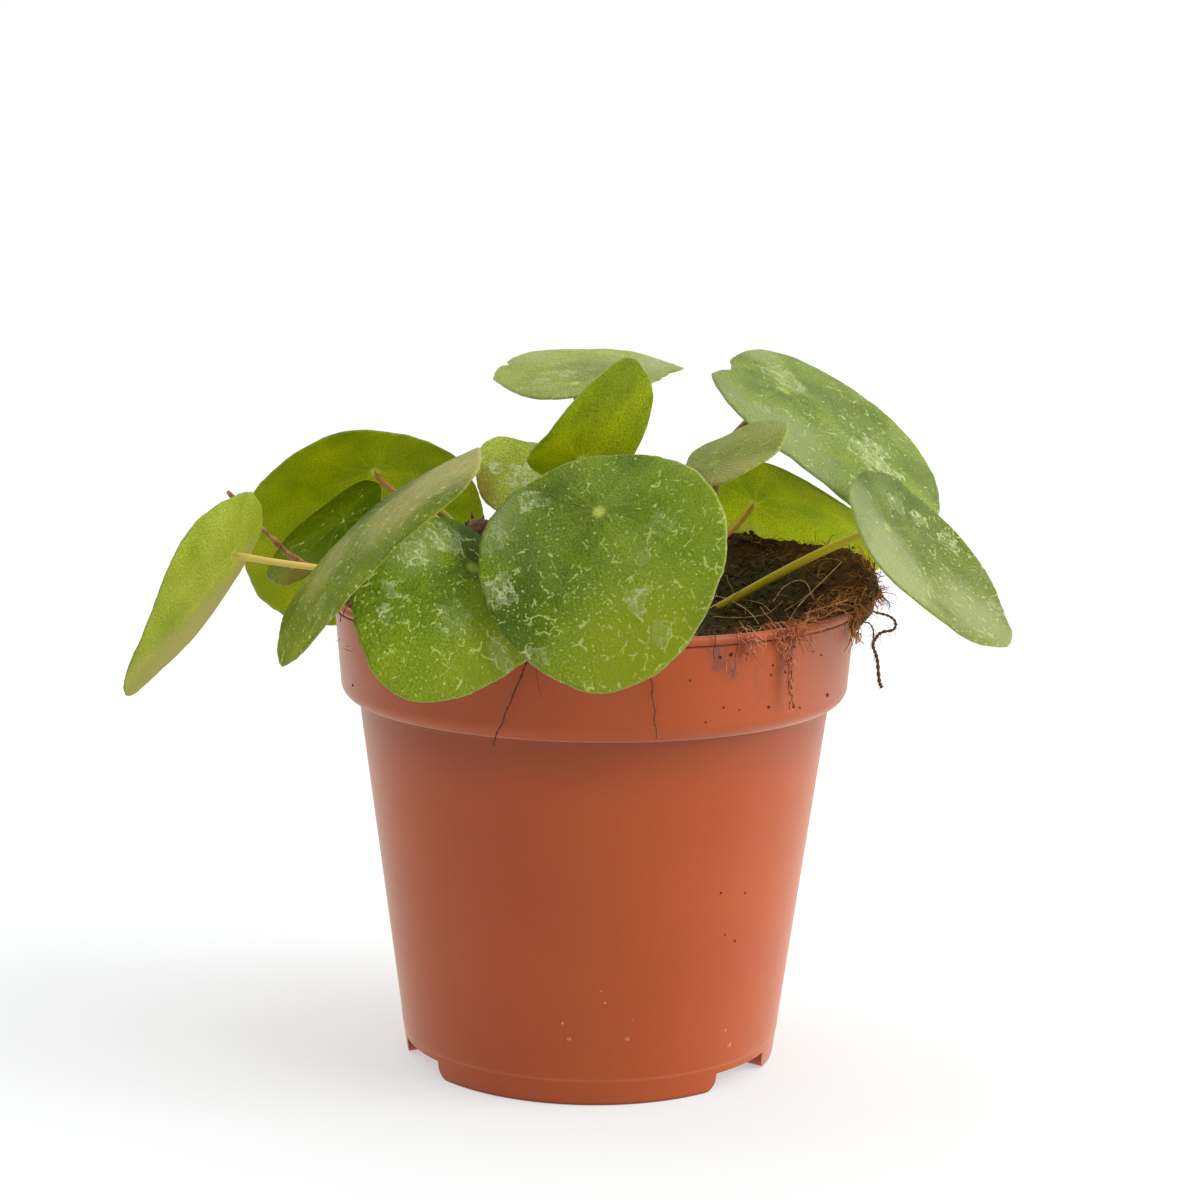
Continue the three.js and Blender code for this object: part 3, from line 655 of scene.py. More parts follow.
def leaf_material(name, variant):
    """Two-sided leaf skin: each face has its own greens, split by the side kept at the points."""
    tones = LEAF_TONES[name]
    material, nodes = new_material(f"leaf_skin_{name}")
    place = nodes.attribute("place")
    axes = nodes.axes(place)
    upward = nodes.band(axes["Z"], 0.4, 0.6)
    downward = nodes.minus(1.0, upward)
    flat = nodes.vector_math("MULTIPLY", place, (1.0, 1.0, 0.0))
    patches = nodes.mottle(place, 9.0, 2.6, variant)
    blots = nodes.mottle(place, 3.2, 2.8, variant + 7)
    speckle = nodes.mottle(place, 1.2, 2.2, variant)
    pores = nodes.mottle(place, 0.5, 3.5, variant)
    # Broad patches of painted sheen: light glancing off the upper face, painted into its colour
    painted_sheen = nodes.mottle(place, 14.0, 2.5, variant + 3)
    ribs = nodes.group(RAYS, place=place, count=9.0, width=0.7, reach=34.0, variant=variant)
    fan = nodes.group(RAYS, place=place, count=40.0, width=0.45, reach=20.0, variant=variant)

    dark, light = tones.get("upper", PLAIN_UPPER)
    upper = nodes.layers(
        dark, (light, patches), (light, nodes.band(axes["Y"], -6.0, 30.0), 0.5),
        (light, speckle, 0.45), (dark, blots, 0.35), (dark, fan, 0.4), (VEIN_GREEN, ribs, 0.2),
        (PAINTED_SHEEN_GREEN, painted_sheen, tones.get("sheen_strength", 0)),
    )
    deep, pale = tones.get("under", PLAIN_UNDER)
    under = nodes.layers(deep, (pale, patches), (pale, speckle, 0.2), (pale, ribs, 0.7))
    for across, along, radius, strength in tones.get("stains", ()):
        stain = nodes.smear(place, (across, along, 0.0), radius, variant)
        under = nodes.tinted(under, STAIN_GREY, stain, strength)

    light_and_dark = nodes.times_plus(pores, 0.54, 0.76)
    colour = nodes.scaled(nodes.tinted(under, upper, upward), light_and_dark)
    through = nodes.tinted(GLOW_DEEP, GLOW_PALE, nodes.times_plus(ribs, 0.6, patches))
    through = nodes.scaled(nodes.tinted(through, GLOW_PALE, speckle, 0.3), light_and_dark)

    def laid(tint, mask, share_through=None):
        """The skin and the light that comes through, with a tint over both."""
        return nodes.tinted(colour, tint, mask), nodes.tinted(through, tint, mask, share_through)

    wander = nodes.times(nodes.minus(patches, 0.5), 0.5)
    # Areas: tints laid over the skin; some are painted sheen, and the strong deep one on front_left is
    # painted shadow.
    for key, side in (("areas", upward), ("under_areas", downward)):
        for across, along, radius, tint, strength in tones.get(key, ()):
            gap = nodes.vector_math("DISTANCE", flat, (across, along, 0.0))
            share = nodes.times_plus(gap, 1 / radius, wander)
            area = nodes.times(nodes.times(nodes.band(share, 1.25, 0.45), strength), side)
            colour, through = laid(AREA_TINTS[tint], area, 0.7)
    lower_half = nodes.times_plus(nodes.band(axes["Y"], -8.0, 14.0), 0.65, 0.35)
    amount = nodes.times(lower_half, tones.get("flecks", 0.3))
    flecks = nodes.group(FLECKS, place=place, amount=amount, variant=variant)
    colour, through = laid(FLECK_GREEN, nodes.times(nodes.times(flecks, 0.85), upward), 0.8)
    lime = 0.0
    # Smears: dried lime; on gloss they are painted highlights, and on front_left both lime and painted
    # highlights.
    for across, along, radius, strength in tones.get("smears", ()):
        smear = nodes.smear(place, (across, along, 1.0), radius, variant)
        lime = nodes.larger(lime, nodes.times(smear, strength))
    lime = nodes.times(lime, upward)
    colour, through = laid(LIME, lime, 0.6)
    if "drawn" in tones:
        drawn_out = nodes.vector_math("MULTIPLY", place, (1.0, 0.2, 1.0))
        streaks = nodes.mottle(drawn_out, 0.9, 3.5, variant)
        colour = nodes.scaled(colour, nodes.times_plus(streaks, tones["drawn"], 1 - tones["drawn"] / 2))
    starburst = nodes.times_plus(fan, -0.5, nodes.vector_math("LENGTH", flat))
    mark = nodes.times(nodes.band(starburst, 1.6, 0.0), tones.get("mark", 0.9))
    colour, through = laid(MARK_GREEN, mark)
    margin = nodes.band(nodes.attribute("margin", "Fac"), 0.984, 0.997)
    colour = nodes.tinted(colour, MARGIN_GREEN, margin, 0.5)

    satin = nodes.times_plus(nodes.noise(place, 1.4, detail=3.0), 0.16, 0.32 - tones.get("shine", 0))
    satin = nodes.times_plus(lime, 0.25, satin)
    roughness = nodes.math("ADD", satin, nodes.times_plus(upward, -0.2, 0.2))
    relief = nodes.times(speckle, 0.7)
    for height, share in ((ribs, 0.4), (fan, -0.5), (pores, 0.6), (lime, 0.3)):
        relief = nodes.times_plus(height, share, relief)
    nodes.surface(
        through=through, share=GLOW_THROUGH, Base_Color=colour, Roughness=roughness,
        Specular_IOR_Level=tones.get("gleam", 0.16), Normal=nodes.bump(relief, 0.85, 0.00035),
    )
    return material


def leaf_axes(leaf):
    """Axes of a leaf: across the blade, towards its tip, and out of its upper face."""
    normal = direction(*leaf["faces"])
    downhill = unit(np.array([0, 0, -1.0]) + normal * normal[2])
    turn = radians(leaf["spin"])
    tip = downhill * math.cos(turn) + np.cross(normal, downhill) * math.sin(turn)
    return np.cross(tip, normal), tip, normal


def blade(name, leaf, order):
    """Blade with a rounded margin, shallow lobes and waves, and soft relief between its veins."""
    across, tip, normal = leaf_axes(leaf)
    bend_across, bend_along, twist = leaf["bend"]
    half = leaf["half"]
    phase = 2.4 * order
    share = (np.arange(BLADE_RINGS + 1) / BLADE_RINGS)[:, None] ** 0.8
    angle = (2 * math.pi * np.arange(BLADE_SEGMENTS) / BLADE_SEGMENTS)[None, :]
    ripple = MARGIN_SCALLOP_DEPTH * np.cos(MARGIN_SCALLOPS * angle + phase)
    for count, depth, turn in leaf["lobes"]:
        ripple = ripple + depth * np.cos(count * angle + radians(turn))
    for size, depth in MARGIN_NOISE:
        ripple = ripple + depth * np.array([
            noise.noise(Vector((size * math.cos(a), size * math.sin(a), phase))) for a in angle[0]
        ])[None, :]
    for place, width, depth in leaf.get("nicks", ()):
        aside = (angle - radians(place) + math.pi) % (2 * math.pi) - math.pi
        ripple = ripple - depth * np.exp(-((aside / radians(width)) ** 2))
    reach = share + ripple * share ** 3
    x = reach * np.sin(angle)
    y = -reach * np.cos(angle)
    along = y + MARK_OFFSET
    rise = bend_across * x * x + bend_along * along ** 2 + twist * x * along
    rise = rise + MARGIN_WAVE * share ** 4 * np.cos(MARGIN_WAVES * angle + phase)
    slope_across = (2 * bend_across * x + twist * along) / (BLADE_ASPECT * half)
    slope_along = (2 * bend_along * along + twist * x) / half
    out = normal - slope_across[..., None] * across - slope_along[..., None] * tip
    out /= np.linalg.norm(out, axis=-1, keepdims=True)
    across_mm = BLADE_ASPECT * half * x
    along_mm = half * along
    middle = (np.array(leaf["at"]) + across_mm[..., None] * across + along_mm[..., None] * tip
              + rise[..., None] * normal - CAD_BLADE_THICKNESS / 2 * out)
    coarse, fine = RELIEF_SIZES
    relief = np.array([
        noise.noise(Vector((u / coarse, v / coarse, phase)))
        + 0.5 * noise.noise(Vector((u / fine, v / fine, phase)))
        for u, v in zip(across_mm.ravel(), along_mm.ravel())
    ]).reshape(across_mm.shape) * RELIEF_DEPTH
    rounding = np.clip((share - MARGIN_ROUNDING) / (1 - MARGIN_ROUNDING), 0, 1)
    thick = BLADE_THICKNESS / 2 * np.sqrt(1 - rounding ** 2)
    calm = 1 - rounding ** 2
    dimple = MARK_DIMPLE * np.exp(-(across_mm ** 2 + along_mm ** 2) / 4)
    upper = middle + (thick + relief * calm - dimple)[..., None] * out
    lower = middle - (thick - relief * calm)[..., None] * out

    def at_points(above, below):
        """Values at the middle and the rings above, then below without the margin that both share."""
        return np.concatenate([above[0, :1], *above[1:], below[0, :1], *below[1:-1]])

    place = np.stack([across_mm, along_mm, np.ones_like(across_mm)], -1)
    margin = np.broadcast_to(share, across_mm.shape)
    below_middle = 1 + BLADE_RINGS * BLADE_SEGMENTS

    def number(side, ring, step):
        start = below_middle if side and ring < BLADE_RINGS else 0
        return start + 1 + (ring - 1) * BLADE_SEGMENTS + step % BLADE_SEGMENTS

    faces = []
    for step in range(BLADE_SEGMENTS):
        faces.append((0, number(0, 1, step), number(0, 1, step + 1)))
        faces.append((below_middle, number(1, 1, step + 1), number(1, 1, step)))
        for ring in range(1, BLADE_RINGS):
            for side in (0, 1):
                a, b = number(side, ring, step), number(side, ring + 1, step)
                c, d = number(side, ring + 1, step + 1), number(side, ring, step + 1)
                faces.append((a, d, c, b) if side else (a, b, c, d))
    material = leaf_material(name, float(order))
    return mesh_piece(
        f"blade_{name}", at_points(upper, lower), faces, material, "leaf_blade",
        replaced=(f"leaf_{name}",), place=at_points(place, place * [1, 1, 0]),
        margin=at_points(margin, margin),
    )


# Stalks, stems and roots


def tube(path, radii, sides):
    """Points and faces of a round tube along a path, closed at both ends."""
    path = np.asarray(path, float)
    radii = np.broadcast_to(radii, len(path))
    ahead = np.gradient(path, axis=0)
    ahead /= np.linalg.norm(ahead, axis=1, keepdims=True)
    side = np.cross(ahead[0], [0, 0, 1.0])
    if np.linalg.norm(side) < 1e-3:
        side = np.array([1.0, 0, 0])
    rings = []
    turns = 2 * math.pi * np.arange(sides) / sides
    for point, forward, radius in zip(path, ahead, radii):
        side = unit(side - forward * (side @ forward))
        other = np.cross(forward, side)
        rings.append(point + radius * (np.cos(turns)[:, None] * side + np.sin(turns)[:, None] * other))
    points = np.concatenate(rings + [path[:1], path[-1:]])
    last = len(path) - 1
    start_cap, end_cap = len(points) - 2, len(points) - 1
    faces = []
    for step in range(sides):
        after = (step + 1) % sides
        for ring in range(last):
            a = ring * sides
            faces.append((a + step, a + after, a + sides + after, a + sides + step))
        faces.append((start_cap, after, step))
        faces.append((end_cap, last * sides + step, last * sides + after))
    return points, faces


def joined(parts):
    """Several sets of points and faces as one."""
    points, faces, start = [], [], 0
    for part_points, part_faces in parts:
        points.append(np.asarray(part_points, float))
        faces += [tuple(start + corner for corner in face) for face in part_faces]
        start += len(part_points)
    return np.concatenate(points), faces


def smooth_path(points, steps):
    """Smooth curve through all the points."""
    points = [np.array(point, float) for point in points]
    points = [2 * points[0] - points[1]] + points + [2 * points[-1] - points[-2]]
    path = []
    for before, start, end, after in zip(points, points[1:], points[2:], points[3:]):
        for t in np.arange(steps) / steps:
            path.append(0.5 * (2 * start + (end - before) * t
                               + (2 * before - 5 * start + 4 * end - after) * t ** 2
                               + (3 * start - before - 3 * end + after) * t ** 3))
    path.append(points[-2])
    return np.array(path)


def wobbled(path, amount, size):
    """Path with a soft wobble. Its noise starts from a new seed in each session unless it is set."""
    noise.seed_set(WOBBLE_SEED)
    return path + amount * np.array([noise.noise_vector(Vector(point / size)) for point in path])


def stem_axis_at(stem, height):
    foot, head = np.array(stem["foot"], float), np.array(stem["head"], float)
    return foot + (head - foot) * (height - foot[2]) / (head[2] - foot[2])


def stalk_path(leaf):
    """From just inside the blade to the middle of its stem, or down into the soil."""
    normal = leaf_axes(leaf)[2]
    stalk = leaf["stalk"]
    head = np.array(leaf["at"]) - normal * (CAD_BLADE_THICKNESS - 0.1)
    if "into" in stalk:
        foot = np.array(stalk["into"])
    else:
        foot = stem_axis_at(STEMS[stalk["on"]], stalk["height"])
    azimuth = math.degrees(math.atan2(head[1] - foot[1], head[0] - foot[0]))
    climbing = direction(azimuth, stalk["climb"])
    leaving = direction(*stalk["leave"]) if "leave" in stalk else -normal
    t = np.linspace(0, 1, STALK_STEPS + 1)[:, None]
    handle_head = head + leaving * stalk["off"]
    handle_foot = foot + climbing * stalk["out"]
    return ((1 - t) ** 3 * head + 3 * (1 - t) ** 2 * t * handle_head
            + 3 * (1 - t) * t ** 2 * handle_foot + t ** 3 * foot)


# Stalk finishes: the tint near the blade and the tint near the stem
STALK_TINTS = {
    "far_left": ((214, 188, 98), (188, 156, 78)),
    "back_left": ((220, 166, 104), (180, 124, 74)),
    "back_right": ((220, 164, 88), (196, 138, 72)),
    "high_right": ((176, 128, 70), (126, 104, 44)),
    "far_right": ((200, 184, 30), (176, 156, 16)),
}
STALK_PLAIN = ((140, 134, 46), (126, 104, 42))
# Stalks thinner than the rest, as a share
STALK_SHARES = {"far_left": 0.8, "back_left": 0.7, "back_right": 0.65}


def stalk_material(name):
    material, nodes = new_material(f"stalk_skin_{name}")
    place = nodes.millimetres()
    near, far = STALK_TINTS.get(name, STALK_PLAIN)
    streaks = nodes.mottle(place, 2.5, 2.0, 1.0)
    colour = nodes.layers(near, (far, nodes.attribute("along", "Fac")), (far, streaks, 0.3))
    grain = nodes.noise(place, 2.0)
    nodes.surface(
        Base_Color=colour, Roughness=nodes.times_plus(grain, 0.15, 0.38), Specular_IOR_Level=0.3,
        Normal=nodes.bump(grain, 0.4, 0.0002),
    )
    return material


def leaf_stalk(name, leaf):
    """Stalk that swells where it meets the blade and where it leaves the stem."""
    path = stalk_path(leaf)
    along = np.linspace(0, 1, len(path))
    swelling = 0.25 * np.exp(-along * 14) + 0.35 * np.exp(-(1 - along) * 10)
    from_blade = np.linalg.norm(path - path[0], axis=1)
    head = np.clip(0.2 + 0.8 * from_blade / STALK_HEAD, 0, 1)
    radii = STALK_SHARES.get(name, 1) * STALK_RADIUS * (1 + swelling) * head
    points, faces = tube(path, radii, STALK_SIDES)
    shares = np.concatenate([np.repeat(along, STALK_SIDES), [0, 1]])
    return mesh_piece(
        f"leafstalk_{name}", points, faces, stalk_material(name), "leaf_stalk",
        replaced=(f"stalk_{name}",), along=shares,
    )


def bark_material(name, deep, pale):
    material, nodes = new_material(name)
    place = nodes.millimetres()
    patches = nodes.mottle(place, 2.2, 2.4, 2.0)
    flakes = nodes.mottle(place, 0.7, 3.0, 5.0)
    colour = nodes.layers(deep, (pale, patches), (deep, nodes.attribute("scar", "Fac"), 0.7))
    normal = nodes.bump(nodes.times_plus(patches, 0.6, flakes), 0.8, 0.0004)
    nodes.surface(Base_Color=colour, Roughness=nodes.times_plus(flakes, 0.2, 0.7), Normal=normal)
    return material


def stem(name, form, material):
    """Woody stem with a raised ring at each old leaf scar and a rough skin."""
    foot, head = np.array(form["foot"], float), np.array(form["head"], float)
    radius, spacing = form["radius"], form["scar"]
    length = np.linalg.norm(head - foot)
    along = np.linspace(0, length, int(length / STEM_STEP))
    ring = np.exp(-(((along + spacing / 2) % spacing - spacing / 2) / SCAR_WIDTH) ** 2)
    dome = np.clip((along - (length - 0.8 * radius)) / (0.8 * radius), 0, 1)
    radii = (radius + SCAR_HEIGHT * ring) * np.sqrt(np.clip(1 - 0.92 * dome ** 2, 0.05, 1))
    path = foot + (head - foot) * (along / length)[:, None]
    points, faces = tube(path, radii, STEM_SIDES)
    centres = np.concatenate([np.repeat(path, STEM_SIDES, axis=0), path[:1], path[-1:]])
    scars = np.concatenate([np.repeat(ring, STEM_SIDES), [0, 0]])
    rough = np.array([noise.fractal(Vector(point / BARK_GRAIN), 1.0, 2.0, 4) for point in points])
    outward = points - centres
    points = points + BARK_ROUGHNESS * rough[:, None] * outward / np.maximum(
        np.linalg.norm(outward, axis=1, keepdims=True), 0.5)
    return mesh_piece(name + "_bark", points, faces, material, form["bark"], replaced=(name,), scar=scars)


def stipules(name, form, material):
    """Dried scales that stand round a stem's tip."""
    rng = random.Random(41)
    head = np.array(form["head"], float)
    parts = []
    for number in range(26):
        turn = 2.4 * number
        around = np.array([math.cos(turn), math.sin(turn), 0])
        start = head + form["radius"] * 0.75 * around - np.array([0, 0, rng.uniform(0, 5)])
        parts.append(strand(start, around * 0.5 + np.array([0, 0, 1]), rng.uniform(0.8, 1.9),
                            rng.uniform(0.35, 0.65), rng, curl=0.3, steps=5))
    points, faces = joined(parts)
    return mesh_piece(name + "_scales", points, faces, material, "old_bark", scar=[0.4] * len(points))


DRIED_TINTS = ((80, 48, 24), (176, 124, 76))


def dead_stalk():
    path = wobbled(smooth_path(DEAD_STALK_PATH, 14), 0.35, 4)
    along = np.linspace(0, 1, len(path))
    points, faces = tube(path, 1.0 + 0.14 * np.sin(60 * along) - 0.5 * along, 8)
    material, nodes = new_material("dried_stalk_skin")
    patches = nodes.mottle(nodes.millimetres(), 1.5, 2.5, 4.0)
    colour = nodes.tinted(*DRIED_TINTS, patches)
    nodes.surface(Base_Color=colour, Roughness=0.75, Normal=nodes.bump(patches, 0.7, 0.0003))
    return mesh_piece("dried_stalk", points, faces, material, "dried_stalk", replaced=("dead_stalk",))


# Soil


def clump_share(azimuth):
    turn = (azimuth - radians(CLUMP_AZIMUTH) + math.pi) % (2 * math.pi) - math.pi
    return np.exp(-((turn / radians(CLUMP_SPREAD)) ** 2))


def soil_reach(azimuth):
    return SOIL_EDGE_RADIUS + CLUMP_REACH * smoothstep(0.25, 0.8, clump_share(azimuth))


def soil_height(x, y):
    """Height of the soil's surface, crumbly at two sizes."""
    radius = math.hypot(x, y)
    azimuth = math.atan2(y, x)
    rise = direction(SOIL_RISE_AZIMUTH, 0)
    slope = (x * rise[0] + y * rise[1]) / LIP_RADIUS
    edge = smoothstep(0.6, 1, radius / LIP_RADIUS)
    past = max(0, radius - LIP_RADIUS) / CLUMP_REACH
    from_hollow = math.hypot(x - HOLLOW_MIDDLE[0], y - HOLLOW_MIDDLE[1]) / HOLLOW_SPREAD
    even = SOIL_LEVEL + SOIL_RISE * slope + CLUMP_RISE * clump_share(azimuth) * edge
    even -= CLUMP_DROOP * past ** 2 + HOLLOW_DEPTH * math.exp(-(from_hollow ** 2))
    lumps = LUMP_HEIGHT * noise.fractal(Vector((x / LUMP_SIZE, y / LUMP_SIZE, 1)), 0.9, 2.1, 5)
    place = Vector((x / CRUMBLE_SIZE, y / CRUMBLE_SIZE, 7))
    return even + lumps + CRUMBLE_HEIGHT * noise.fractal(place, 0.7, 2.2, 3)


# Tints of the soil
PEAT = ((9, 8, 3), (46, 36, 12))
COIR = ((40, 20, 6), (124, 74, 30))
MOSS = (64, 62, 14)
PALE_CRUMB = (124, 92, 40)
LOOSE_CRUMB = (150, 112, 60)


def soil_material():
    material, nodes = new_material("peat")
    place = nodes.millimetres()
    patches = nodes.mottle(place, 4.0, 2.6, 1.0)
    crumbs = nodes.mottle(place, 0.8, 3.0, 2.0)
    moss = nodes.mottle(place, 9.0, 3.0, 9.0)
    coir = nodes.tinted(*COIR, patches)
    colour = nodes.layers(
        nodes.tinted(*PEAT, patches), (MOSS, moss, 0.5), (coir, nodes.attribute("clump", "Fac")),
        (PALE_CRUMB, crumbs, 0.3), (LOOSE_CRUMB, nodes.attribute("tint", "Fac")),
    )
    normal = nodes.bump(nodes.times_plus(crumbs, 0.7, patches), 1.0, 0.001)
    nodes.surface(Base_Color=colour, Roughness=0.92, Specular_IOR_Level=0.2, Normal=normal)
    return material


def soil(material):
    """Crumbly soil with a clump that hangs over the rim."""
    points, clump = [], []
    for step in range(SOIL_SEGMENTS):
        azimuth = 2 * math.pi * step / SOIL_SEGMENTS
        reach = soil_reach(azimuth) + 0.8 * noise.noise(Vector((*polar(8, azimuth), 3)))
        hang = CLUMP_UNDERSIDE + 1.2 * math.sin(9 * azimuth) + 0.8 * math.sin(17 * azimuth + 1)
        outer = smoothstep(0.2, 0.8, clump_share(azimuth))
        for ring in range(1, SOIL_RINGS + 1):
            radius = reach * (ring / SOIL_RINGS) ** 0.9
            x, y = polar(radius, azimuth)
            points.append((x, y, soil_height(x, y)))
            clump.append(outer * smoothstep(*CLUMP_FADE, radius))
        for share in UNDERSIDE_SHARES:
            radius = reach * share
            height = hang + CLUMP_UNDERSIDE_SLOPE * (radius - LIP_RADIUS)
            inside = smoothstep(SOIL_EDGE_RADIUS, SOIL_EDGE_RADIUS - 2, radius)
            points.append((*polar(radius, azimuth), height * (1 - inside) + SOIL_FOOT * inside))
            clump.append(outer)
    per_step = SOIL_RINGS + len(UNDERSIDE_SHARES)
    top, bottom = len(points), len(points) + 1
    points += [(0, 0, soil_height(0, 0)), (0, 0, SOIL_FOOT)]
    clump += [0, 0]
    faces = []
    for step in range(SOIL_SEGMENTS):
        here, there = step * per_step, (step + 1) % SOIL_SEGMENTS * per_step
        faces.append((top, here, there))
        for ring in range(per_step - 1):
            faces.append((here + ring, here + ring + 1, there + ring + 1, there + ring))
        faces.append((here + per_step - 1, bottom, there + per_step - 1))
    return mesh_piece(
        "peat_soil", points, faces, material, "peat_soil", replaced=("soil",), clump=clump,
        tint=[0] * len(points),
    )


# Skins of roots, fibres and specks: the darkest and the lightest tint
STRAND_TINTS = {
    "soil_fibre": ((44, 26, 8), (214, 164, 98)),
    "clump_fibre": ((70, 30, 4), (240, 160, 70)),
    "rim_root_skin": ((124, 46, 18), (242, 164, 106)),
    "rim_hair_skin": ((60, 18, 8), (164, 80, 38)),
    "pale_root_skin": ((186, 140, 84), (236, 206, 158)),
    "speck_skin": ((44, 16, 10), (90, 40, 24)),
}
HANGING_TINTS = ((44, 24, 16), (140, 92, 60))


def strand_material(name):
    """Skin of fine roots and fibres, each with its own tint kept at its points."""
    material, nodes = new_material(name)
    dark, light = STRAND_TINTS.get(name, HANGING_TINTS)
    patches = nodes.mottle(nodes.millimetres(), 2.0, 2.0, 6.0)
    colour = nodes.layers(dark, (light, nodes.attribute("tint", "Fac")), (dark, patches, 0.35))
    nodes.surface(Base_Color=colour, Roughness=0.8)
    return material


def strand(start, heading, length, radius, rng, curl=0.5, sag=0.0, steps=9):
    """One thin fibre that wanders off from its start."""
    path = [np.array(start, float)]
    heading = unit(np.array(heading, float))
    step = length / steps
    for _ in range(steps):
        heading = heading + curl * np.array([rng.gauss(0, 0.4) for _ in range(3)])
        heading[2] -= sag
        heading = unit(heading)
        path.append(path[-1] + step * heading)
    path = np.array(path)
    taper = np.linspace(1, 0.35, len(path))
    return tube(path, radius * taper, 4)


def fibres(name, made, skin):
    """One piece from many strands, each with a tint of its own."""
    points, faces = joined([part for part, tint in made])
    tints = np.concatenate([[tint] * len(part[0]) for part, tint in made])
    return mesh_piece(name, points, faces, strand_material(skin), "peat_soil", tint=tints)


def soil_fibres():
    """Short roots and fibres that lie on the soil and stand out of it."""
    rng = random.Random(11)
    made = []
    for _ in range(SOIL_FIBRES):
        azimuth = rng.uniform(0, 2 * math.pi)
        x, y = polar(58 * math.sqrt(rng.random()), azimuth)
        heading = (math.cos(rng.uniform(0, 7)), math.sin(rng.uniform(0, 7)), rng.uniform(-0.1, 0.5))
        length = rng.uniform(3, 10)
        tint = rng.random() ** 3
        start, radius = (x, y, soil_height(x, y)), rng.uniform(*FIBRE_RADII)
        made.append((strand(start, heading, length, radius, rng, curl=0.6, sag=0.06), tint))
    return fibres("soil_fibres", made, "soil_fibre")


def clump_place(rng, spread=30):
    """Somewhere on the clump's outer face: its azimuth, its radius and the place itself."""
    azimuth = radians(CLUMP_AZIMUTH + rng.gauss(0, spread))
    drop = rng.random()
    radius = soil_reach(azimuth) - 6 * (1 - drop) * rng.random()
    x, y = polar(radius, azimuth)
    top = soil_height(x, y)
    low = CLUMP_UNDERSIDE + CLUMP_UNDERSIDE_SLOPE * (radius - LIP_RADIUS)
    return azimuth, radius, (x, y, top + (low - top) * drop * clump_share(azimuth))


def loop(middle, size, rng):
    """A fibre that curls round most of a circle."""
    outward = unit(np.array([middle[0], middle[1], rng.uniform(-20, 30)]))
    side = unit(np.cross(outward, [rng.uniform(-0.4, 0.4), rng.uniform(-0.4, 0.4), 1.0]))
    up = np.cross(side, outward)
    start = rng.uniform(0, 2 * math.pi)
    turns = start + np.linspace(0, rng.uniform(2.2, 4.6), 16)
    path = [np.array(middle) + size * (math.cos(t) * side + rng.uniform(0.9, 1.1) * math.sin(t) * up)
            + 0.03 * i * outward for i, t in enumerate(turns)]
    return tube(smooth_path(path, 2), rng.uniform(0.08, 0.15), 4)


def clump_fibres():
    """Matted fibres of the clump: they curl over its edge, loop and hang below it."""
    rng = random.Random(5)
    made = []
    for _ in range(CLUMP_FIBRES):
        azimuth, _, start = clump_place(rng)
        sideways = rng.choice((-1, 1))
        outward = rng.uniform(-0.3, 0.35)
        heading = (outward * math.cos(azimuth) - sideways * math.sin(azimuth),
                   outward * math.sin(azimuth) + sideways * math.cos(azimuth), rng.uniform(-0.7, 0.4))
        length, radius = rng.uniform(2, 7), rng.uniform(*FIBRE_RADII)
        made.append((strand(start, heading, length, radius, rng, curl=0.9, sag=0.08), rng.random()))
    for _ in range(CLUMP_LOOPS):
        middle = clump_place(rng, 22)[2]
        made.append((loop(middle, rng.uniform(1.5, 4.5), rng), 0.1 + 0.7 * rng.random()))
    for _ in range(CLUMP_DRIPS):
        azimuth = radians(rng.gauss(-17, 3))
        start = (*polar(60.9 + 0.9 * rng.random(), azimuth), rng.uniform(101.5, 108))
        heading = (rng.uniform(-0.3, 0.3), rng.uniform(-0.3, 0.3), -1)
        length, radius = rng.uniform(1.5, 4), rng.uniform(0.08, 0.2)
        made.append((strand(start, heading, length, radius, rng, sag=0.1), rng.random()))
    return fibres("clump_fibres", made, "clump_fibre")


def soil_crumbs(material):
    """Loose crumbs of peat on the soil and in the clump."""
    rng = random.Random(3)
    parts, clump, tints = [], [], []
    for number in range(SOIL_CRUMBS):
        if number % 4:
            azimuth = rng.uniform(0, 2 * math.pi)
            radius = 57.5 * math.sqrt(rng.random())
            x, y = polar(radius, azimuth)
            place = (x, y, soil_height(x, y))
        else:
            azimuth, radius, place = clump_place(rng, 24)
        size = rng.uniform(0.3, 0.9) if rng.random() < 0.85 else rng.uniform(0.9, 1.15)
        parts.append(crumb(place, size, rng))
        count = len(parts[-1][0])
        clump += [float(clump_share(azimuth) * smoothstep(*CLUMP_FADE, radius))] * count
        tints += [0.8 * rng.random() ** 4] * count
    points, faces = joined(parts)
    return mesh_piece("soil_crumbs", points, faces, material, "peat_soil", clump=clump, tint=tints)


def crumb(centre, size, rng):
    """Small lump with uneven corners: two poles and two rings of five."""
    points = [(0, 0, 1.0)]
    for height, ahead in ((0.4, 0), (-0.4, 0.5)):
        points += [(*polar(0.9, 2 * math.pi * (step + ahead) / 5), height) for step in range(5)]
    points.append((0, 0, -1.0))
    points = np.array(points) * np.array([[rng.uniform(0.6, 1.2)] for _ in points])
    turn = Euler([rng.uniform(0, 6) for _ in range(3)]).to_matrix()
    points = points @ np.array(turn).T * size + np.array(centre)
    faces = []
    for step in range(5):
        after = (step + 1) % 5
        faces += [(0, 1 + step, 1 + after), (1 + step, 6 + step, 1 + after),
                  (6 + step, 6 + after, 1 + after), (11, 6 + after, 6 + step)]
    return points, faces


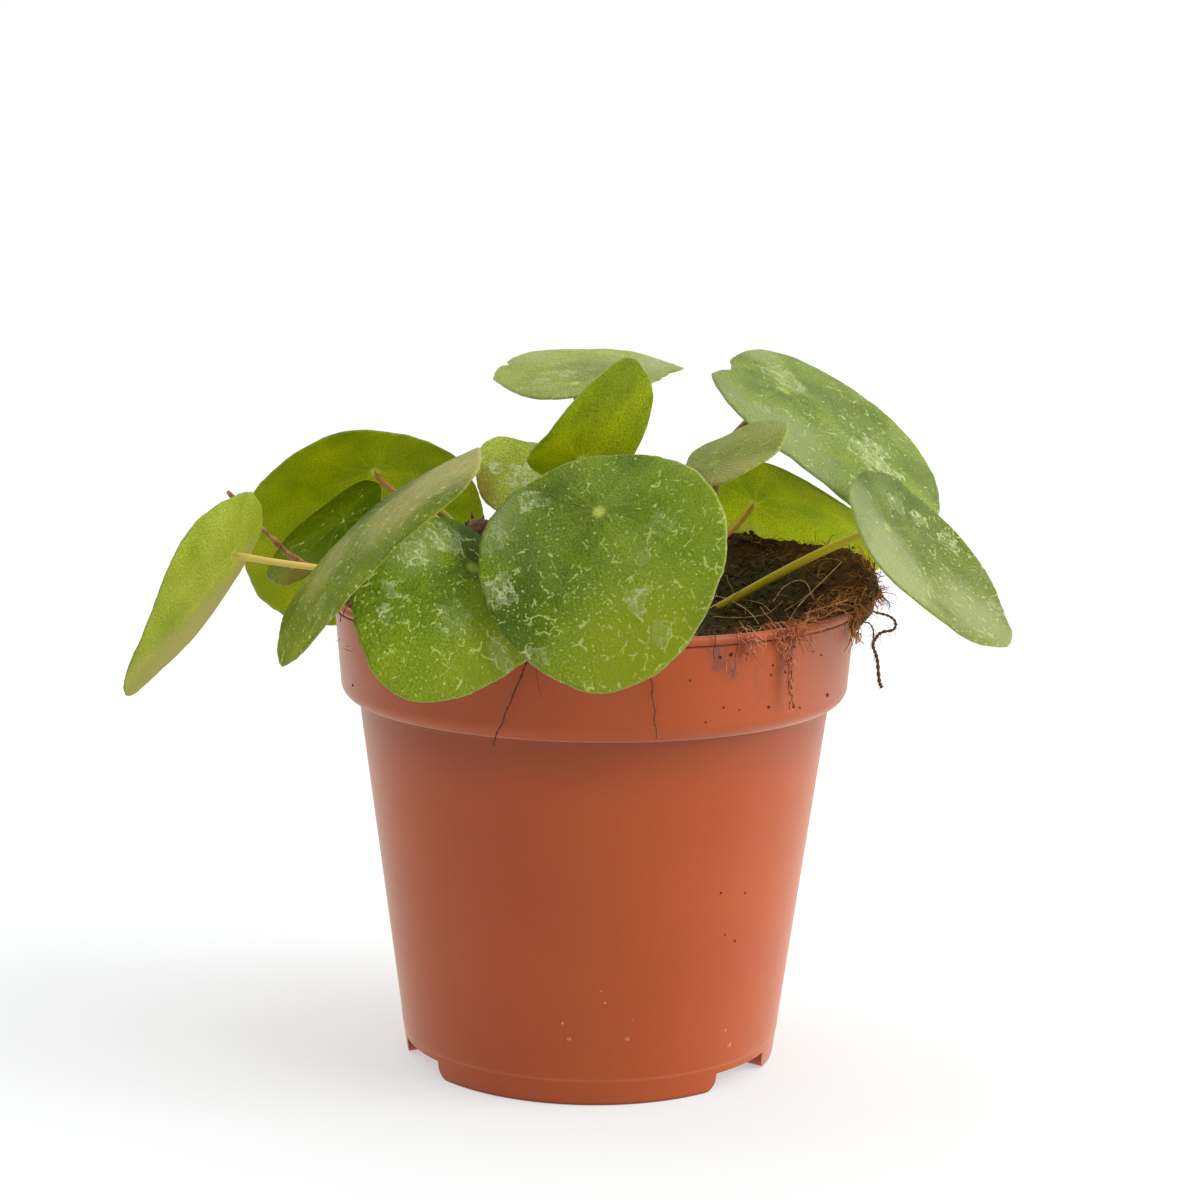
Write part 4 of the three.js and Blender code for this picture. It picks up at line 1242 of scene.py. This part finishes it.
# Roots that hang off the clump: points along each, and its radius
HANGING_ROOTS = {
    "root_dark": ((
        (57, -1, 103.6), (61.8, -2, 104.9), (64.8, -2.2, 104.3), (67.4, -2, 103.6),
        (69, -1.8, 102.5), (68.9, -2, 100.6), (66.3, -2.2, 99.9), (64.8, -2, 98.5),
        (64.1, -2, 96.6), (64.9, -2, 94.5), (65.4, -2, 92.1), (65.8, -2, 88.6), (66.5, -2, 86.8),
    ), 0.33),
    "root_hook": ((
        (57, -5, 103.4), (60.6, -6, 102.8), (62.6, -6, 102.6), (63.6, -6, 101), (63.7, -6, 99.1),
        (63.7, -6, 97.7),
    ), 0.17),
    "root_thin": ((
        (62, -4, 110.4), (64.7, -4, 109.9), (65.6, -4, 108.6), (67.1, -4, 107.2), (67.6, -4, 106),
    ), 0.1),
}
# Thinner ones in front, which follow the pot: azimuth at the lip, the azimuth that they
# gather at, how far down they have gathered, lowest height and radius
RIM_ROOTS = (
    (-51.6, -48.2, 103, 99, 0.13), (-50.4, -47.4, 102, 95.5, 0.15), (-49, -47, 102, 92.6, 0.19),
    (-47.6, -46.8, 102, 93.8, 0.16), (-46.4, -46.4, 102, 89, 0.15), (-45, -46.8, 102, 97.5, 0.13),
    (-42, -44, 104, 102.6, 0.1), (-47, -45.4, 92, 89, 0.13), (-59.8, -58, 103, 102.4, 0.12),
    (-58, -57.6, 103, 101.8, 0.15), (-56.4, -57.4, 103, 103, 0.12),
)
# Hairs on the band: azimuth at the lip and at the lower end, lowest height, radius, and
# whether it is the red and crumbly one
RIM_HAIRS = (
    (-101.5, -110.5, 83, 0.2, False), (-102.5, -100, 93.5, 0.1, False), (-79.4, -77.4, 86, 0.22, True),
    (-65.5, -65.8, 101, 0.12, False), (-60.5, -61.2, 97.5, 0.08, False), (-158, -157, 103.5, 0.16, False),
    (-155, -156, 104.5, 0.14, False),
)
# Pale roots on the soil: points as place and lift above it
SOIL_ROOTS = (
    ((26, -5, 1), (30, -15, 1.6), (34, -23, 0.8), (36, -30, 0.5)),
    ((26, -24, 1.2), (32, -27, 0.8), (38, -25, 1), (42, -18, 1.8)),
    ((45, -22, 0.6), (50, -15, 2.4), (56, -7, 4)),
    ((42, -24, 0.6), (47, -18, 1.6), (52, -14, 3)),
    ((40, -14, 0.3), (43, -11, 3.6), (47, -12, 3.4), (49, -17, 0.4)),
    ((46, -28, 0.5), (50, -27, 1), (56, -24, 1.6)),
    ((32, -12, 0.4), (37, -17, 1.2), (39, -23, 0.6)),
)


def with_rootlets(path, radius, rng, sides=6, spread=0.5, ends=(1.1, 0.7)):
    """A wavering root with fine rootlets: a list of strands with a tint for each."""
    path = wobbled(path, 0.6 * radius, 2.5)
    taper = radius * (1 + 0.25 * np.sin(np.arange(len(path)) * 1.1)) * np.linspace(*ends, len(path))
    made = [(tube(path, taper, sides), rng.random())]
    for point in path[len(path) // 3::3]:
        if rng.random() < spread:
            heading, length = [rng.uniform(-1, 1) for _ in range(3)], rng.uniform(1, 3)
            made.append((strand(point, heading, length, 0.06, rng, curl=0.7, sag=0.2), rng.random()))
    return made


def hanging_root(name, path, radius):
    rng = random.Random(len(name))
    made = with_rootlets(smooth_path(path, 12), radius, rng, sides=8, spread=1.0, ends=(0.75, 1.25))
    return fibres(name, made, name + "_skin")


def over_the_rim(start, gather, gathered, low, rng, unrest=1.0):
    """Path from the soil over the lip and down the band, a hair's breadth off the plastic."""
    points = [(55, SOIL_LEVEL - 1, start), (58, 108.3, start), (60.2, 108.1, start), (61.2, 106.6, start)]
    phase = rng.uniform(0, 6)
    bend = 106.4
    for height in np.arange(105.4, low, -1.2):
        if gathered > 100:
            share = smoothstep(bend, gathered, height)
        else:
            share = min(1, (bend - height) / (bend - gathered))
        sway = unrest * (0.35 * math.sin(1.3 * height + phase) + rng.uniform(-0.25, 0.25))
        points.append((60.8 + rng.uniform(0, 0.45), height, start + (gather - start) * share + sway))
    return smooth_path([(*polar(radius, radians(turn)), height) for radius, height, turn in points], 5)


def rim_roots():
    """Reddish roots that trail over the front of the rim, with peat still on them."""
    rng = random.Random(17)
    made = []
    for start, gather, gathered, low, radius in RIM_ROOTS:
        path = over_the_rim(start, gather, gathered, low, rng)
        made += with_rootlets(path, radius, rng, spread=0.7)
        for point in path[14:]:
            if rng.random() < 0.25:
                made.append((crumb(point, rng.uniform(0.18, 0.45), rng), 0.12 * rng.random()))
    for _ in range(RIM_FIBRES):
        azimuth = radians(rng.gauss(-46, 3.4) if rng.random() < 0.8 else rng.gauss(-58, 1.6))
        start = (*polar(60.7, azimuth), rng.uniform(104, 108))
        heading = (rng.uniform(-0.6, 0.8), rng.uniform(-0.6, 0.1), rng.uniform(-1, 0.3))
        length, radius = rng.uniform(1.5, 5), rng.uniform(0.06, 0.12)
        made.append((strand(start, heading, length, radius, rng, curl=0.6, sag=0.12), rng.random()))
    for _ in range(FRONT_FIBRES):
        azimuth = radians(rng.uniform(-60, -14) if rng.random() < 0.25 else rng.uniform(-46, -14))
        radius = rng.uniform(54, 60)
        x, y = polar(radius, azimuth)
        turn = azimuth + rng.choice((-1, 1)) * rng.uniform(0.2, 1.9)
        start = (x, y, max(soil_height(x, y), 107.6 if radius > 58 else 0) + 0.1)
        heading = (*polar(1, turn), rng.uniform(-0.05, 0.5))
        length, radius = rng.uniform(2, 6), rng.uniform(0.07, 0.13)
        made.append((strand(start, heading, length, radius, rng, curl=0.55, sag=0.05), rng.random()))
    return fibres("rim_roots", made, "rim_root_skin")


def rim_hairs():
    rng = random.Random(23)
    made = []
    for start, gather, low, radius, crumbly in RIM_HAIRS:
        path = over_the_rim(start, gather, low, low, rng, unrest=0.35)
        reddish, spread = (1.0, 0.6) if crumbly else (0.4, 0.1)
        made += [(part, reddish * tint) for part, tint in with_rootlets(path, radius, rng, 5, spread)]
    return fibres("rim_hairs", made, "rim_hair_skin")


def soil_roots():
    rng = random.Random(29)
    made = []
    for route in SOIL_ROOTS:
        path = smooth_path([(x, y, soil_height(x, y) + lift) for x, y, lift in route], 8)
        made += with_rootlets(path, 0.1, rng, spread=0.3)
    return fibres("soil_roots", made, "pale_root_skin")


# Specks of peat on the pot: azimuth, height and size
SPECKS = (
    (-49.9, 99.6, 0.36), (-50.2, 97.5, 0.32), (-50.1, 90.4, 0.4), (-33.4, 99.7, 0.28),
    (-28.4, 89.9, 0.42), (-156.4, 89.9, 0.36), (-55, 48, 0.34), (-46.6, 46.8, 0.26),
    (-48.2, 35.8, 0.3), (-52.1, 37.8, 0.24), (-62, 91.5, 0.3), (-66, 88.6, 0.3), (-58, 90.6, 0.22),
    (-40, 88.9, 0.26), (-70, 98, 0.3), (-61, 103, 0.5), (-63.5, 102.6, 0.44), (-57, 104.6, 0.5),
    (-44, 103, 0.4), (-37, 101, 0.24),
)


def body_radius(height):
    return BASE_RADIUS + (SHOULDER_RADIUS - BASE_RADIUS) * height / SHOULDER_HEIGHT


def pot_radius(height):
    if height < BAND_CORNER_HEIGHT:
        return body_radius(height)
    share = (height - BAND_CORNER_HEIGHT) / (POT_HEIGHT - LIP_BEAD - BAND_CORNER_HEIGHT)
    return BAND_RADIUS + (NECK_RADIUS - BAND_RADIUS) * share


def specks():
    """Crumbs of peat that stick to the pot."""
    rng = random.Random(31)
    parts = []
    for azimuth, height, size in SPECKS:
        place = direction(azimuth, 0) * (pot_radius(height) + 0.05)
        parts.append(crumb((place[0], place[1], height), size, rng))
    points, faces = joined(parts)
    material = strand_material("speck_skin")
    return mesh_piece("peat_specks", points, faces, material, "peat_soil", tint=[0.3] * len(points))


# Pot


def pot_profile():
    """Half section of the pot's wall, outside from the foot up and back down inside."""
    def arc(centre, radius, start, end, count):
        turns = np.radians(np.linspace(start, end, count))
        return [(centre[0] + radius * math.cos(t), centre[1] + radius * math.sin(t)) for t in turns]

    foot_inner = BASE_RADIUS - FOOT_WIDTH
    section = [(0, FOOT_HEIGHT), (foot_inner - 1, FOOT_HEIGHT)]
    section += [(foot_inner, FOOT_HEIGHT - 0.3), (foot_inner, 0.4)]
    section += arc((foot_inner + 0.4, 0.4), 0.4, 180, 270, 4)
    section += arc((BASE_RADIUS - 0.5, 0.5), 0.5, 270, 360, 5)
    body = []
    for height in np.linspace(1.5, SHOULDER_HEIGHT - 0.3, 30):
        swell = BASE_LINE_RISE * math.exp(-((height - BASE_LINE_HEIGHT) / 0.3) ** 2)
        body.append((body_radius(height) + swell, height))
    at_line = body_radius(BASE_LINE_HEIGHT)
    body += [(at_line, BASE_LINE_HEIGHT - 0.5), (at_line + BASE_LINE_RISE, BASE_LINE_HEIGHT)]
    section += sorted(body, key=lambda point: point[1])
    section.append((SHOULDER_RADIUS, SHOULDER_HEIGHT))
    corner = (BAND_RADIUS - BAND_CORNER, BAND_CORNER_HEIGHT)
    section += arc(corner, BAND_CORNER, -88, 0, 14)
    band_rise = POT_HEIGHT - LIP_BEAD - 0.5 - BAND_CORNER_HEIGHT
    for share in np.linspace(0.1, 1, 10):
        radius = BAND_RADIUS + (NECK_RADIUS - BAND_RADIUS) * share
        section.append((radius, BAND_CORNER_HEIGHT + band_rise * share))
    section.append((NECK_RADIUS - 0.5, POT_HEIGHT - LIP_BEAD - 0.2))
    bead = LIP_BEAD / 2
    section += arc((LIP_RADIUS - bead, POT_HEIGHT - bead), bead, -80, 180, 18)
    inner_neck = LIP_RADIUS - LIP_BEAD
    section.append((inner_neck, POT_HEIGHT - LIP_BEAD))
    for ridge in reversed(INNER_RIDGES):
        for inward, up in ((0.2, 0.5), (0.5, 0), (0.2, -0.5)):
            section.append((inner_neck - inward, ridge + up))
    section += arc(corner, BAND_CORNER - WALL, 0, -88, 8)
    section.append((SHOULDER_RADIUS - WALL, BAND_CORNER_HEIGHT - BAND_CORNER + WALL))
    floor_top = FOOT_HEIGHT + FLOOR_THICKNESS
    section.append((body_radius(floor_top + 1.5) - WALL, floor_top + 1.5))
    section += [(body_radius(floor_top) - WALL - 1.5, floor_top), (0, floor_top)]
    return section


# Marks on the pot: places in millimetres, each with its radius and strength. The stains
# run down, so heights are drawn together where their pattern is made. The mark at
# (35.5, -47.5, 97) is not a stain but painted shadow of the hanging roots on the band.
STAIN_DRAW = 0.45
STAINS_AND_ROOT_SHADOW = (
    ((27.1, -53.1, 105.2), 2.2, 0.5), ((25.4, -54, 103.6), 1.6, 0.4),
    ((29.8, -51.5, 101.5), 2, 0.4), ((28.1, -52.2, 99.4), 1.6, 0.25), ((35.5, -47.5, 97), 3, 0.25),
    ((34, -48.5, 103), 2.4, 0.3),
)
SCUFFS = (
    ((-5.8, -45.3, 19.6), 0.5, 0.5), ((-4.4, -45, 15.9), 0.7, 0.55),
    ((8.3, -44.5, 15.9), 0.8, 0.35), ((31.3, -31.6, 10.5), 0.8, 0.55),
    ((2.4, -46.7, 27.4), 0.4, 0.5), ((3.3, -46.2, 24.6), 0.4, 0.45),
    ((30.5, -33.2, 14.4), 0.5, 0.45), ((9.5, -45, 20.4), 0.3, 0.4),
)


# Tints of the pot: the plastic, the painted shade under the band, the line round the foot, the
# painted shade along the foot's lowest edge, stains with a painted root shadow among them, and scuffs
TERRACOTTA = ((156, 64, 12), (166, 71, 18))
UNDER_BAND_PAINTED_SHADE = (96, 40, 10)
MOULD_LINE_PALE = (214, 136, 100)
FOOT_PAINTED_SHADE = (84, 36, 12)
STAIN_AND_SHADOW_BROWN = (92, 58, 50)
SCUFF_PALE = (226, 176, 146)
POT_SHEEN = (0.9, 0.84, 0.7, 1)


def pot_material():
    material, nodes = new_material("terracotta_plastic")
    metres = nodes.add("ShaderNodeTexCoord").outputs["Object"]
    place = nodes.scaled(nodes.vector_math("SUBTRACT", metres, tuple(POT_AXIS)), 1000.0)
    cloud = nodes.mottle(place, 26.0, 1.6, 3.0)
    grain = nodes.mottle(place, 0.5, 1.5, 2.0)
    scratched = nodes.mottle(place, 0.5, 7.0, 4.0)
    height = nodes.axes(place)["Z"]
    # Painted shade: darker just under the band's overhang, where its shadow falls
    painted_shade_under_band = nodes.times(nodes.band(height, 70.0, 83.0), nodes.band(height, 84.6, 84.2))
    mould_line = nodes.times(nodes.band(height, 5.5, 5.9), nodes.band(height, 6.5, 6.1))
    # Painted shade along the lowest edge of the foot, where it meets the floor
    foot_painted_shade = nodes.band(height, 1.0, 0.2)
    colour = nodes.tinted(*TERRACOTTA, cloud)
    colour = nodes.scaled(colour, nodes.times_plus(grain, 0.12, 0.94))
    colour = nodes.layers(
        colour, (UNDER_BAND_PAINTED_SHADE, painted_shade_under_band, 0.35), (MOULD_LINE_PALE, mould_line, 0.13),
        (FOOT_PAINTED_SHADE, foot_painted_shade, 0.6),
    )
    drawn_out = nodes.vector_math("MULTIPLY", place, (1.0, 1.0, STAIN_DRAW))
    # Stains, with one painted shadow of the hanging roots among them
    for (x, y, z), radius, strength in STAINS_AND_ROOT_SHADOW:
        stain = nodes.smear(drawn_out, (x, y, STAIN_DRAW * z), radius, 1.0)
        colour = nodes.tinted(colour, STAIN_AND_SHADOW_BROWN, stain, strength)
    for centre, radius, strength in SCUFFS:
        near = nodes.band(nodes.vector_math("DISTANCE", place, centre), radius, radius * 0.5)
        colour = nodes.tinted(colour, SCUFF_PALE, nodes.times(near, scratched), strength)
    roughness = nodes.times_plus(grain, 0.06, nodes.times_plus(cloud, 0.06, 0.4))
    nodes.surface(
        Base_Color=colour, Roughness=roughness, Specular_IOR_Level=0.36,
        Normal=nodes.bump(grain, 0.2, 0.0001), Sheen_Weight=0.5, Sheen_Roughness=0.35,
        Sheen_Tint=POT_SHEEN,
    )
    return material


def face_outwards(mesh):
    shape = bmesh.new()
    shape.from_mesh(mesh)
    bmesh.ops.recalc_face_normals(shape, faces=shape.faces)
    shape.to_mesh(mesh)
    shape.free()


def cutter(points, faces):
    mesh = new_mesh("cutter", points, faces)
    face_outwards(mesh)
    return new_item("cutter", mesh)


def notch_solid(azimuth):
    """Prism that parts the foot ring, with its lower corners eased."""
    half = NOTCH_WIDTH / 2
    eased = half + NOTCH_CORNER
    side = [(eased, -5)]
    for turn in np.radians(np.linspace(-90, -180, 8)):
        side.append((eased + NOTCH_CORNER * math.cos(turn), NOTCH_CORNER + NOTCH_CORNER * math.sin(turn)))
    side.append((half, NOTCH_HEIGHT))
    outline = side + [(-across, up) for across, up in reversed(side)]
    outward = direction(azimuth, 0)
    across_axis = np.cross([0, 0, 1.0], outward)
    points = []
    for depth in (BASE_RADIUS - 2 * FOOT_WIDTH, BASE_RADIUS + FOOT_WIDTH):
        points += [outward * depth + across_axis * across + [0, 0, up] for across, up in outline]
    count = len(outline)
    faces = [tuple(range(count)), tuple(reversed(range(count, 2 * count)))]
    faces += [(i, i + count, (i + 1) % count + count, (i + 1) % count) for i in range(count)]
    return points, faces


def drain_solid(x, y):
    return tube([(x, y, FOOT_HEIGHT - 3), (x, y, FOOT_HEIGHT + 3)], DRAIN_RADIUS, 32)


def pot(material):
    """Turned wall with its foot ring notched and its floor drilled."""
    (_, floor_under), *wall, (_, floor_top) = pot_profile()
    turns = [2 * math.pi * step / POT_SEGMENTS for step in range(POT_SEGMENTS)]
    points = [(*polar(radius, turn), height) for radius, height in wall for turn in turns]
    low, high = len(points), len(points) + 1
    points += [(0, 0, floor_under), (0, 0, floor_top)]
    last = low - POT_SEGMENTS
    faces = []
    for step in range(POT_SEGMENTS):
        after = (step + 1) % POT_SEGMENTS
        faces.append((low, after, step))
        for start in range(0, last, POT_SEGMENTS):
            above = start + POT_SEGMENTS
            faces.append((start + step, start + after, above + after, above + step))
        faces.append((high, last + step, last + after))
    piece = mesh_piece("nursery_pot", points, faces, material, "pot_plastic", replaced=("pot",))
    solids = [notch_solid(azimuth) for azimuth in NOTCH_AZIMUTHS] + [drain_solid(0, 0)]
    for number in range(DRAIN_COUNT):
        x, y, _ = direction(NOTCH_AZIMUTHS[0] + 360 * number / DRAIN_COUNT, 0) * DRAIN_CIRCLE
        solids.append(drain_solid(x, y))
    face_outwards(piece.data)
    tool = cutter(*joined(solids))
    cut = piece.modifiers.new("cut", "BOOLEAN")
    cut.operation, cut.object, cut.solver = "DIFFERENCE", tool, "EXACT"
    shaped = bpy.data.meshes.new_from_object(piece.evaluated_get(bpy.context.evaluated_depsgraph_get()))
    piece.modifiers.clear()
    piece.data = shaped
    bpy.data.objects.remove(tool)
    shaped.shade_smooth()
    shaped.set_sharp_from_angle(angle=radians(SHARP_ANGLE))
    return piece


# Camera, light and floor


def camera():
    data = bpy.data.cameras.new("camera")
    data.lens = CAMERA_LENS
    data.sensor_width = CAMERA_SENSOR
    data.clip_start, data.clip_end = CAMERA_CLIP
    item = new_item("camera", data)
    item.matrix_world = (
        Matrix.Translation(Vector(CAMERA_PLACE) * MM + POT_AXIS)
        @ Matrix.Rotation(radians(90 - CAMERA_PITCH), 4, "X")
        @ Matrix.Rotation(radians(CAMERA_ROLL), 4, "Z")
    )
    bpy.context.scene.camera = item


def new_light(name, kind, heading, **settings):
    """Light that shines along a heading."""
    data = bpy.data.lights.new(name, kind)
    for key, value in settings.items():
        setattr(data, key, value)
    item = new_item(name, data)
    item.rotation_euler = heading.to_track_quat("-Z", "Y").to_euler()
    return item


def studio():
    """Pale floor, white surroundings, a broad key light and a square light on either side."""
    floor_mesh = bpy.data.meshes.new("floor")
    corners = [(x * FLOOR_REACH, y * FLOOR_REACH, 0) for x, y in ((-1, -1), (1, -1), (1, 1), (-1, 1))]
    floor_mesh.from_pydata(corners, [], [(0, 1, 2, 3)])
    floor = new_item("floor", floor_mesh)
    material, nodes = new_material("floor_paper")
    nodes.surface(
        Base_Color=FLOOR_GREY, Roughness=0.9, Specular_IOR_Level=0.0, Emission_Color=WHITE,
        Emission_Strength=FLOOR_GLOW,
    )
    floor_mesh.materials.append(material)
    world = bpy.data.worlds.new("studio")
    world.use_nodes = True
    world.node_tree.nodes.clear()
    nodes = Nodes(world.node_tree)
    axes = nodes.axes(nodes.add("ShaderNodeTexCoord").outputs["Generated"])
    glow = nodes.times_plus(nodes.band(axes["Y"], -0.5, 0.35), WALL_GLOW - ROOM_GLOW, ROOM_GLOW)
    glow = nodes.times_plus(nodes.band(axes["Z"], 0.2, 0.9), CEILING_GLOW, glow)
    background = nodes.add("ShaderNodeBackground", {"Color": WHITE, "Strength": glow}).outputs[0]
    nodes.add("ShaderNodeOutputWorld", {"Surface": background})
    bpy.context.scene.world = world
    new_light("key", "SUN", Vector(-direction(*KEY_FROM)), angle=radians(KEY_WIDTH), energy=KEY_POWER)
    for name, azimuth, power in SOFTBOXES:
        place = Vector(direction(azimuth, SOFTBOX_HEIGHT)) * SOFTBOX_DISTANCE
        size = {"shape": "SQUARE", "size": SOFTBOX_SIZE}
        box = new_light(name, "AREA", SOFTBOX_AIM - place, energy=power, **size)
        box.location = place
    bpy.context.scene.view_settings.view_transform = "Standard"


camera()
studio()
pot(pot_material())
peat = soil_material()
soil(peat)
soil_crumbs(peat)
soil_fibres()
clump_fibres()
soil_roots()
rim_roots()
rim_hairs()
specks()
for root_name, (root_path, root_radius) in HANGING_ROOTS.items():
    hanging_root(root_name, root_path, root_radius)
barks = {stem_name: bark_material(form["bark"], *form["tints"]) for stem_name, form in STEMS.items()}
for stem_name, stem_form in STEMS.items():
    stem(stem_name, stem_form, barks[stem_name])
for stem_name, stem_form in STEMS.items():
    stipules(stem_name, stem_form, barks[stem_name])
dead_stalk()
for leaf_order, (leaf_name, leaf_form) in enumerate(LEAVES.items()):
    blade(leaf_name, leaf_form, leaf_order)
    leaf_stalk(leaf_name, leaf_form)
